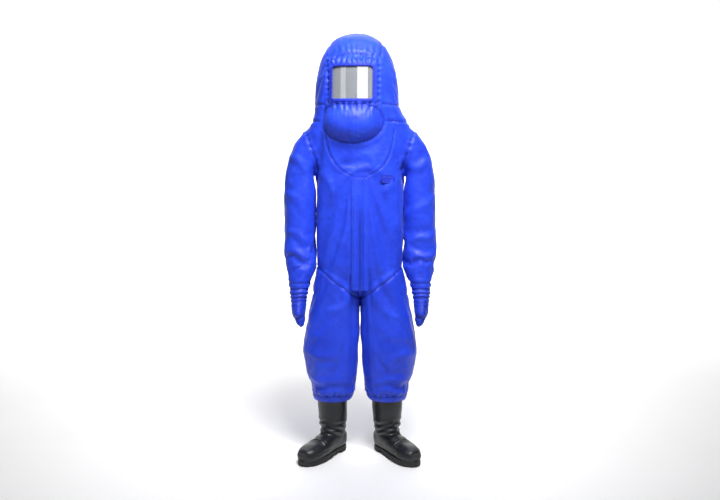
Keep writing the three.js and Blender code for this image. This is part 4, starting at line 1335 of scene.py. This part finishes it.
def buildSeam():  # groove, welt and stitches from the seam distance that each piece carries
    group, given, result = newGroup(
        "sewnSeam",
        [
            ("Stitch Length", "NodeSocketFloat", 0.0045), ("Stitch Row", "NodeSocketFloat", 0.0055),
            ("Groove Width", "NodeSocketFloat", 0.0016),
        ],
        [("Height", "NodeSocketFloat"), ("Groove", "NodeSocketFloat"), ("Stitches", "NodeSocketFloat")],
    )
    away = addNode(group, "ShaderNodeAttribute", {"attribute_name": "seamGap"}).outputs["Fac"]
    along = addNode(group, "ShaderNodeAttribute", {"attribute_name": "seamRun"}).outputs["Fac"]
    groove = compute(group, "SUBTRACT", 1.0, compute(group, "DIVIDE", away, given["Groove Width"]), clamp=True)
    offRow = compute(group, "ABSOLUTE", compute(group, "SUBTRACT", away, given["Stitch Row"]))
    row = compute(group, "SUBTRACT", 1.0, compute(group, "DIVIDE", offRow, 0.0009), clamp=True)
    turns = compute(group, "DIVIDE", along, given["Stitch Length"])
    dash = compute(group, "SINE", compute(group, "MULTIPLY", turns, 2 * math.pi))
    dash = compute(group, "MULTIPLY_ADD", dash, 2.0, clamp=True)
    stitches = compute(group, "MULTIPLY", row, dash)
    near = compute(group, "SUBTRACT", 1.0, compute(group, "DIVIDE", away, 0.016), clamp=True)
    pull = compute(group, "SINE", compute(group, "MULTIPLY", turns, 2 * math.pi * 0.28))
    pucker = compute(group, "MULTIPLY", compute(group, "MULTIPLY", near, pull), 0.35)
    raised = compute(group, "ADD", pucker, compute(group, "MULTIPLY", stitches, 0.5))
    height = compute(group, "SUBTRACT", raised, groove)
    group.links.new(height, result["Height"])
    group.links.new(groove, result["Groove"])
    group.links.new(stitches, result["Stitches"])
    return group


def buildCrease():  # soft small wrinkles of a padded, coated cloth
    group, given, result = newGroup(
        "softCrease",
        [("Size", "NodeSocketFloat", 22.0)],
        [("Height", "NodeSocketFloat"), ("Worn", "NodeSocketFloat")],
    )
    place = addNode(group, "ShaderNodeTexCoord").outputs["Object"]
    large = addNode(
        group, "ShaderNodeTexNoise", {"noise_type": "RIDGED_MULTIFRACTAL", "normalize": True},
        Vector=place, Scale=given["Size"], Detail=3.0, Roughness=0.45,
    ).outputs["Fac"]
    small = addNode(group, "ShaderNodeTexNoise", Vector=place, Scale=70.0, Detail=3.0).outputs["Fac"]
    height = compute(group, "ADD", large, compute(group, "MULTIPLY", small, 0.35))
    group.links.new(height, result["Height"])
    wear = addNode(group, "ShaderNodeTexNoise", Vector=place, Scale=14.0, Detail=6.0, Roughness=0.7).outputs["Fac"]
    ramp = addNode(group, "ShaderNodeMapRange", i0=wear, i1=0.52, i2=0.74)
    group.links.new(ramp.outputs[0], result["Worn"])
    return group


def buildScuff():  # dust that gathers low down, and scuffs
    group, given, result = newGroup(
        "rubberScuff",
        [("Reach", "NodeSocketFloat", 0.12)],
        [("Dust", "NodeSocketFloat"), ("Scuffs", "NodeSocketFloat"), ("Height", "NodeSocketFloat")],
    )
    place = addNode(group, "ShaderNodeTexCoord").outputs["Object"]
    up = addNode(group, "ShaderNodeSeparateXYZ", Vector=place).outputs["Z"]
    low = compute(group, "SUBTRACT", 1.0, compute(group, "DIVIDE", up, given["Reach"]), clamp=True)
    patchy = addNode(group, "ShaderNodeTexNoise", Vector=place, Scale=26.0, Detail=6.0, Roughness=0.7).outputs["Fac"]
    dust = compute(group, "MULTIPLY", low, addNode(group, "ShaderNodeMapRange", i0=patchy, i1=0.42, i2=0.7).outputs[0])
    group.links.new(dust, result["Dust"])
    stretched = addNode(group, "ShaderNodeMapping", Vector=place)
    stretched.inputs["Scale"].default_value = (1.0, 1.0, 0.3)
    scratch = addNode(
        group, "ShaderNodeTexNoise", Vector=stretched.outputs[0], Scale=130.0, Detail=4.0, Roughness=0.7,
    ).outputs["Fac"]
    group.links.new(addNode(group, "ShaderNodeMapRange", i0=scratch, i1=0.60, i2=0.72).outputs[0], result["Scuffs"])
    grain = addNode(group, "ShaderNodeTexNoise", Vector=place, Scale=420.0, Detail=3.0).outputs["Fac"]
    group.links.new(compute(group, "ADD", grain, compute(group, "MULTIPLY", patchy, 1.5)), result["Height"])
    return group


weave = buildWeave()
seam = buildSeam()
crease = buildCrease()
scuff = buildScuff()


# Materials.
def startMaterial(name):
    material = bpy.data.materials.new(name)
    material.use_nodes = True
    tree = material.node_tree
    tree.nodes.clear()
    out = tree.nodes.new("ShaderNodeOutputMaterial")
    shader = tree.nodes.new("ShaderNodeBsdfPrincipled")
    tree.links.new(shader.outputs[0], out.inputs["Surface"])
    return material, tree, shader


def useGroup(tree, group, **values):
    node = tree.nodes.new("ShaderNodeGroup")
    node.node_tree = group
    for name, value in values.items():
        node.inputs[name.replace("_", " ")].default_value = value
    return node.outputs


def mixColour(tree, amount, first, second):
    return addNode(tree, "ShaderNodeMix", {"data_type": "RGBA"}, i0=amount, i6=first, i7=second).outputs[2]


def feed(tree, shader, name, value, low, high):  # a mask's 0-1 sets the input between two values
    node = addNode(tree, "ShaderNodeMapRange", i0=value, i3=low, i4=high)
    tree.links.new(node.outputs[0], shader.inputs[name])


def bump(tree, height, strength, distance, under=None):
    node = addNode(tree, "ShaderNodeBump", Height=height, Strength=strength, Distance=distance)
    if under is not None:
        tree.links.new(under, node.inputs["Normal"])
    return node.outputs[0]


# In each entry, "fold" is the colour of painted shade laid into fold valleys, applied up to "shadeInFolds" of the way.
fabrics = {
    "suitFabric": {
        "fold": (0.005, 0.014, 0.22, 1), "shadeInFolds": 0.75,
        "colour": (0.017, 0.060, 0.72, 1), "deep": (0.012, 0.038, 0.54, 1), "worn": (0.030, 0.085, 0.78, 1),
        "stitch": (0.03, 0.08, 0.62, 1), "rough": (0.46, 0.62), "sheen": 0.12, "threads": 1500.0,
        "weaveDepth": 0.00025, "creaseDepth": 0.0011, "creaseSize": 15.0,
    },
    "trimFabric": {
        "fold": (0.005, 0.014, 0.22, 1), "shadeInFolds": 0.75,
        "colour": (0.010, 0.030, 0.52, 1), "deep": (0.006, 0.016, 0.34, 1), "worn": (0.03, 0.07, 0.62, 1),
        "stitch": (0.05, 0.10, 0.70, 1), "rough": (0.55, 0.72), "sheen": 0.2, "threads": 2200.0,
        "weaveDepth": 0.0003, "creaseDepth": 0.0005, "creaseSize": 30.0,
    },
    "gloveFabric": {
        "fold": (0.005, 0.014, 0.22, 1), "shadeInFolds": 0.75,
        "colour": (0.014, 0.050, 0.66, 1), "deep": (0.007, 0.022, 0.36, 1), "worn": (0.04, 0.10, 0.78, 1),
        "stitch": (0.01, 0.03, 0.42, 1), "rough": (0.48, 0.66), "sheen": 0.15, "threads": 2600.0,
        "weaveDepth": 0.0004, "creaseDepth": 0.0008, "creaseSize": 40.0,
    },
    "liningFabric": {
        "fold": (0.005, 0.014, 0.22, 1), "shadeInFolds": 0.75,
        "colour": (0.86, 0.88, 0.92, 1), "deep": (0.66, 0.70, 0.78, 1), "worn": (0.92, 0.93, 0.95, 1),
        "stitch": (0.6, 0.64, 0.72, 1), "rough": (0.6, 0.8), "sheen": 0.1, "threads": 1900.0,
        "weaveDepth": 0.0003, "creaseDepth": 0.0012, "creaseSize": 24.0,
    },
    # painted shade: a darkened copy of liningFabric for the shadowed inside of the hood
    "hoodLining": {
        "fold": (0.005, 0.014, 0.22, 1), "shadeInFolds": 0.75,
        "colour": (0.30, 0.34, 0.44, 1), "deep": (0.16, 0.19, 0.28, 1), "worn": (0.42, 0.45, 0.52, 1),
        "stitch": (0.6, 0.64, 0.72, 1), "rough": (0.6, 0.8), "sheen": 0.1, "threads": 1900.0,
        "weaveDepth": 0.0003, "creaseDepth": 0.0012, "creaseSize": 24.0,
    },
}


def makeFabric(name, sewn=True):
    look = fabrics[name]
    material, tree, shader = startMaterial(name)
    threads = useGroup(tree, weave, Threads=look["threads"], Unevenness=0.45)
    folds = useGroup(tree, crease, Size=look["creaseSize"])
    tone = addNode(tree, "ShaderNodeMapRange", i0=threads["Shade"], i1=0.30, i2=0.68).outputs[0]
    colour = mixColour(tree, tone, look["deep"], look["colour"])
    worn = compute(tree, "MULTIPLY", folds["Worn"], 0.35)
    colour = mixColour(tree, worn, colour, look["worn"])
    normal = bump(tree, folds["Height"], 0.5, look["creaseDepth"] * 2)
    if sewn:
        # painted shade: where foldHeight is negative, the colour is pulled towards the "fold" colour
        fold = addNode(tree, "ShaderNodeAttribute", {"attribute_name": "foldHeight"}).outputs["Fac"]
        paintedFoldShade = addNode(tree, "ShaderNodeMapRange", i0=fold, i1=0.0, i2=-1.0, i4=look["shadeInFolds"]).outputs[0]
        colour = mixColour(tree, paintedFoldShade, colour, look["fold"])
        seams = useGroup(tree, seam)
        colour = mixColour(tree, compute(tree, "MULTIPLY", seams["Groove"], 0.75), colour, look["deep"])
        colour = mixColour(tree, compute(tree, "MULTIPLY", seams["Stitches"], 0.6), colour, look["stitch"])
        normal = bump(tree, seams["Height"], 0.7, 0.0014, normal)
    normal = bump(tree, threads["Height"], 0.35, look["weaveDepth"], normal)
    tree.links.new(colour, shader.inputs["Base Color"])
    feed(tree, shader, "Roughness", folds["Worn"], *look["rough"])
    tree.links.new(normal, shader.inputs["Normal"])
    shader.inputs["Sheen Weight"].default_value = look["sheen"]
    shader.inputs["Sheen Roughness"].default_value = 0.45
    shader.inputs["Sheen Tint"].default_value = (0.35, 0.5, 1.0, 1)
    shader.inputs["Specular IOR Level"].default_value = 0.32
    return material


rubbers = {
    "bootRubber": {
        "colour": (0.0060, 0.0072, 0.0100, 1), "dusty": (0.035, 0.036, 0.038, 1), "rough": (0.38, 0.60), "coat": 0.08,
    },
    "soleRubber": {
        "colour": (0.009, 0.009, 0.010, 1), "dusty": (0.045, 0.043, 0.040, 1), "rough": (0.6, 0.82), "coat": 0.0,
    },
}


def makeRubber(name):
    look = rubbers[name]
    material, tree, shader = startMaterial(name)
    marks = useGroup(tree, scuff, Reach=0.16)
    colour = mixColour(tree, compute(tree, "MULTIPLY", marks["Dust"], 0.4), look["colour"], look["dusty"])
    colour = mixColour(tree, compute(tree, "MULTIPLY", marks["Scuffs"], 0.25), colour, look["dusty"])
    tree.links.new(colour, shader.inputs["Base Color"])
    feed(tree, shader, "Roughness", compute(tree, "ADD", marks["Dust"], marks["Scuffs"]), *look["rough"])
    tree.links.new(bump(tree, marks["Height"], 0.25, 0.0006), shader.inputs["Normal"])
    shader.inputs["Coat Weight"].default_value = look["coat"]
    shader.inputs["Coat Roughness"].default_value = 0.35
    return material


def makeWindowSheet():
    material, tree, shader = startMaterial("clearWindow")
    spot = addNode(tree, "ShaderNodeTexCoord").outputs["Object"]
    haze = addNode(tree, "ShaderNodeTexNoise", Vector=spot, Scale=16.0, Detail=5.0, Roughness=0.6).outputs["Fac"]
    wave = addNode(tree, "ShaderNodeTexNoise", Vector=spot, Scale=9.0, Detail=1.0).outputs["Fac"]
    colour = mixColour(tree, haze, (0.93, 0.96, 0.99, 1), (0.80, 0.87, 0.96, 1))
    tree.links.new(colour, shader.inputs["Base Color"])
    feed(tree, shader, "Roughness", haze, 0.03, 0.13)
    tree.links.new(bump(tree, wave, 0.3, 0.002), shader.inputs["Normal"])
    feed(tree, shader, "Alpha", haze, 0.14, 0.24)
    shader.inputs["IOR"].default_value = 1.55
    shader.inputs["Coat Weight"].default_value = 1.0
    shader.inputs["Coat IOR"].default_value = 4.0
    shader.inputs["Coat Roughness"].default_value = 0.03
    return material


def makeMetal(name, colour, rough):
    material, tree, shader = startMaterial(name)
    marks = useGroup(tree, scuff, Reach=3.0)
    darker = tuple(channel * 0.55 for channel in colour[:3]) + (1,)
    tone = mixColour(tree, compute(tree, "MULTIPLY", marks["Scuffs"], 0.5), colour, darker)
    tree.links.new(tone, shader.inputs["Base Color"])
    feed(tree, shader, "Roughness", marks["Dust"], rough, rough + 0.2)
    tree.links.new(bump(tree, marks["Height"], 0.15, 0.0003), shader.inputs["Normal"])
    shader.inputs["Metallic"].default_value = 1.0
    return material


def makeZipTape():
    material, tree, shader = startMaterial("zipTape")
    threads = useGroup(tree, weave, Threads=3200.0, Unevenness=0.2)
    colour = mixColour(tree, threads["Shade"], (0.010, 0.018, 0.16, 1), (0.018, 0.040, 0.30, 1))
    tree.links.new(colour, shader.inputs["Base Color"])
    feed(tree, shader, "Roughness", threads["Shade"], 0.45, 0.7)
    tree.links.new(bump(tree, threads["Height"], 0.4, 0.0004), shader.inputs["Normal"])
    return material


def giveMaterial(obj, *materials):
    obj.data.materials.clear()
    for material in materials:
        obj.data.materials.append(material)


def giveToNode(name, material):
    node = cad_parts[name]
    if not node.material_slots:
        node.data.materials.append(material)
    for spot in node.material_slots:
        spot.material = material


suitFabric = makeFabric("suitFabric")
trimFabric = makeFabric("trimFabric")
gloveFabric = makeFabric("gloveFabric")
liningFabric = makeFabric("liningFabric", sewn=False)
hoodLining = makeFabric("hoodLining", sewn=False)
bootRubber = makeRubber("bootRubber")
soleRubber = makeRubber("soleRubber")
clearWindow = makeWindowSheet()
zipMetal = makeMetal("zipMetal", (0.55, 0.56, 0.58, 1), 0.32)
steelCap = makeMetal("steelCap", (0.42, 0.43, 0.45, 1), 0.4)
zipTape = makeZipTape()

for label, piece in pieces.items():
    giveMaterial(piece, suitFabric, liningFabric)
giveMaterial(binding, trimFabric)
giveMaterial(lens, clearWindow)
giveMaterial(lining, hoodLining)
giveMaterial(flapCover, suitFabric)
giveMaterial(patch, trimFabric)
for side in ("left", "right"):
    giveMaterial(gloves[side], gloveFabric)
    giveMaterial(boots[side], bootRubber)
    giveMaterial(soles[side], soleRubber)
    giveToNode(f"{side}_boot_insole", liningFabric)
    giveToNode(f"{side}_boot_toe_cap", steelCap)
    giveToNode(f"zip_half_{side}", zipTape)
    giveMaterial(zipTeeth[f"zip_half_{side}"], zipTape)
for name in ("flap_hook_strip", "flap_loop_strip"):
    giveToNode(name, trimFabric)
for name in ("zip_slider", "zip_pull_tab", "zip_bottom_stop"):
    giveToNode(name, zipMetal)
giveToNode("visor_gasket", bootRubber)
print("materials made")


# Floor, light and finish.
studio = {"floor": 16.0, "key": 37, "fill": 9, "front": 15, "top": 34, "back": 700, "world": 0.08, "keySpread": 95}


def addFloor():
    deselectAll()
    bpy.ops.mesh.primitive_plane_add(size=studio["floor"], location=(0, 0, -0.0005))
    floor = bpy.context.object
    floor.name = "studioFloor"
    pick(floor)
    bpy.ops.object.mode_set(mode="EDIT")
    bpy.ops.mesh.select_all(action="DESELECT")
    bpy.ops.mesh.select_mode(type="EDGE")
    bpy.ops.object.mode_set(mode="OBJECT")
    for edge in floor.data.edges:
        a, b = (floor.data.vertices[i].co.y for i in edge.vertices)
        edge.select = a > 1 and b > 1
    bpy.ops.object.mode_set(mode="EDIT")
    bpy.ops.mesh.extrude_edges_move(TRANSFORM_OT_translate={"value": (0, 0, 9)})
    bpy.ops.object.mode_set(mode="OBJECT")
    finishWith(floor, "BEVEL", width=2.5, segments=16, limit_method="ANGLE")
    shade(floor)
    material, tree, shader = startMaterial("paleFloor")
    spot = addNode(tree, "ShaderNodeTexCoord").outputs["Object"]
    cloudy = addNode(tree, "ShaderNodeTexNoise", Vector=spot, Scale=2.0, Detail=3.0).outputs["Fac"]
    tree.links.new(mixColour(tree, cloudy, (0.90, 0.90, 0.90, 1), (0.94, 0.94, 0.94, 1)), shader.inputs["Base Color"])
    shader.inputs["Roughness"].default_value = 0.9
    giveMaterial(floor, material)


def addSoftbox(name, place, aim, size, power, colour=(1, 1, 1)):
    deselectAll()
    bpy.ops.object.light_add(type="AREA", location=place)
    lamp = bpy.context.object
    lamp.name = lamp.data.name = name
    lamp.data.shape = "RECTANGLE"
    lamp.data.size, lamp.data.size_y = size
    lamp.data.energy = power
    lamp.data.color = colour
    lamp.rotation_euler = (Vector(aim) - Vector(place)).to_track_quat("-Z", "Y").to_euler()


def addWorld():
    world = bpy.data.worlds.new("paleRoom")
    world.use_nodes = True
    world.node_tree.nodes["Background"].inputs["Color"].default_value = (1, 1, 1, 1)
    world.node_tree.nodes["Background"].inputs["Strength"].default_value = studio["world"]
    bpy.context.scene.world = world


addFloor()
addSoftbox("keyLight", (0.35, -1.5, 3.1), (0, 0, 1.45), (1.1, 0.8), studio["key"])
bpy.data.lights["keyLight"].spread = math.radians(studio["keySpread"])
addSoftbox("fillLight", (-2.2, -2.6, 2.4), (0, 0, 1.3), (1.0, 1.8), studio["fill"])
addSoftbox("frontLight", (0.85, -2.9, 2.45), (0.04, 0, 1.65), (1.7, 0.6), studio["front"])
addSoftbox("topLight", (0, 1.6, 3.6), (0, -0.6, 0), (2.4, 1.0), studio["top"])
addSoftbox("backdropLight", (0, 3.6, 5.2), (0, 8.0, 1.6), (7.0, 1.5), studio["back"])
addWorld()
bpy.context.scene.view_settings.view_transform = "Standard"
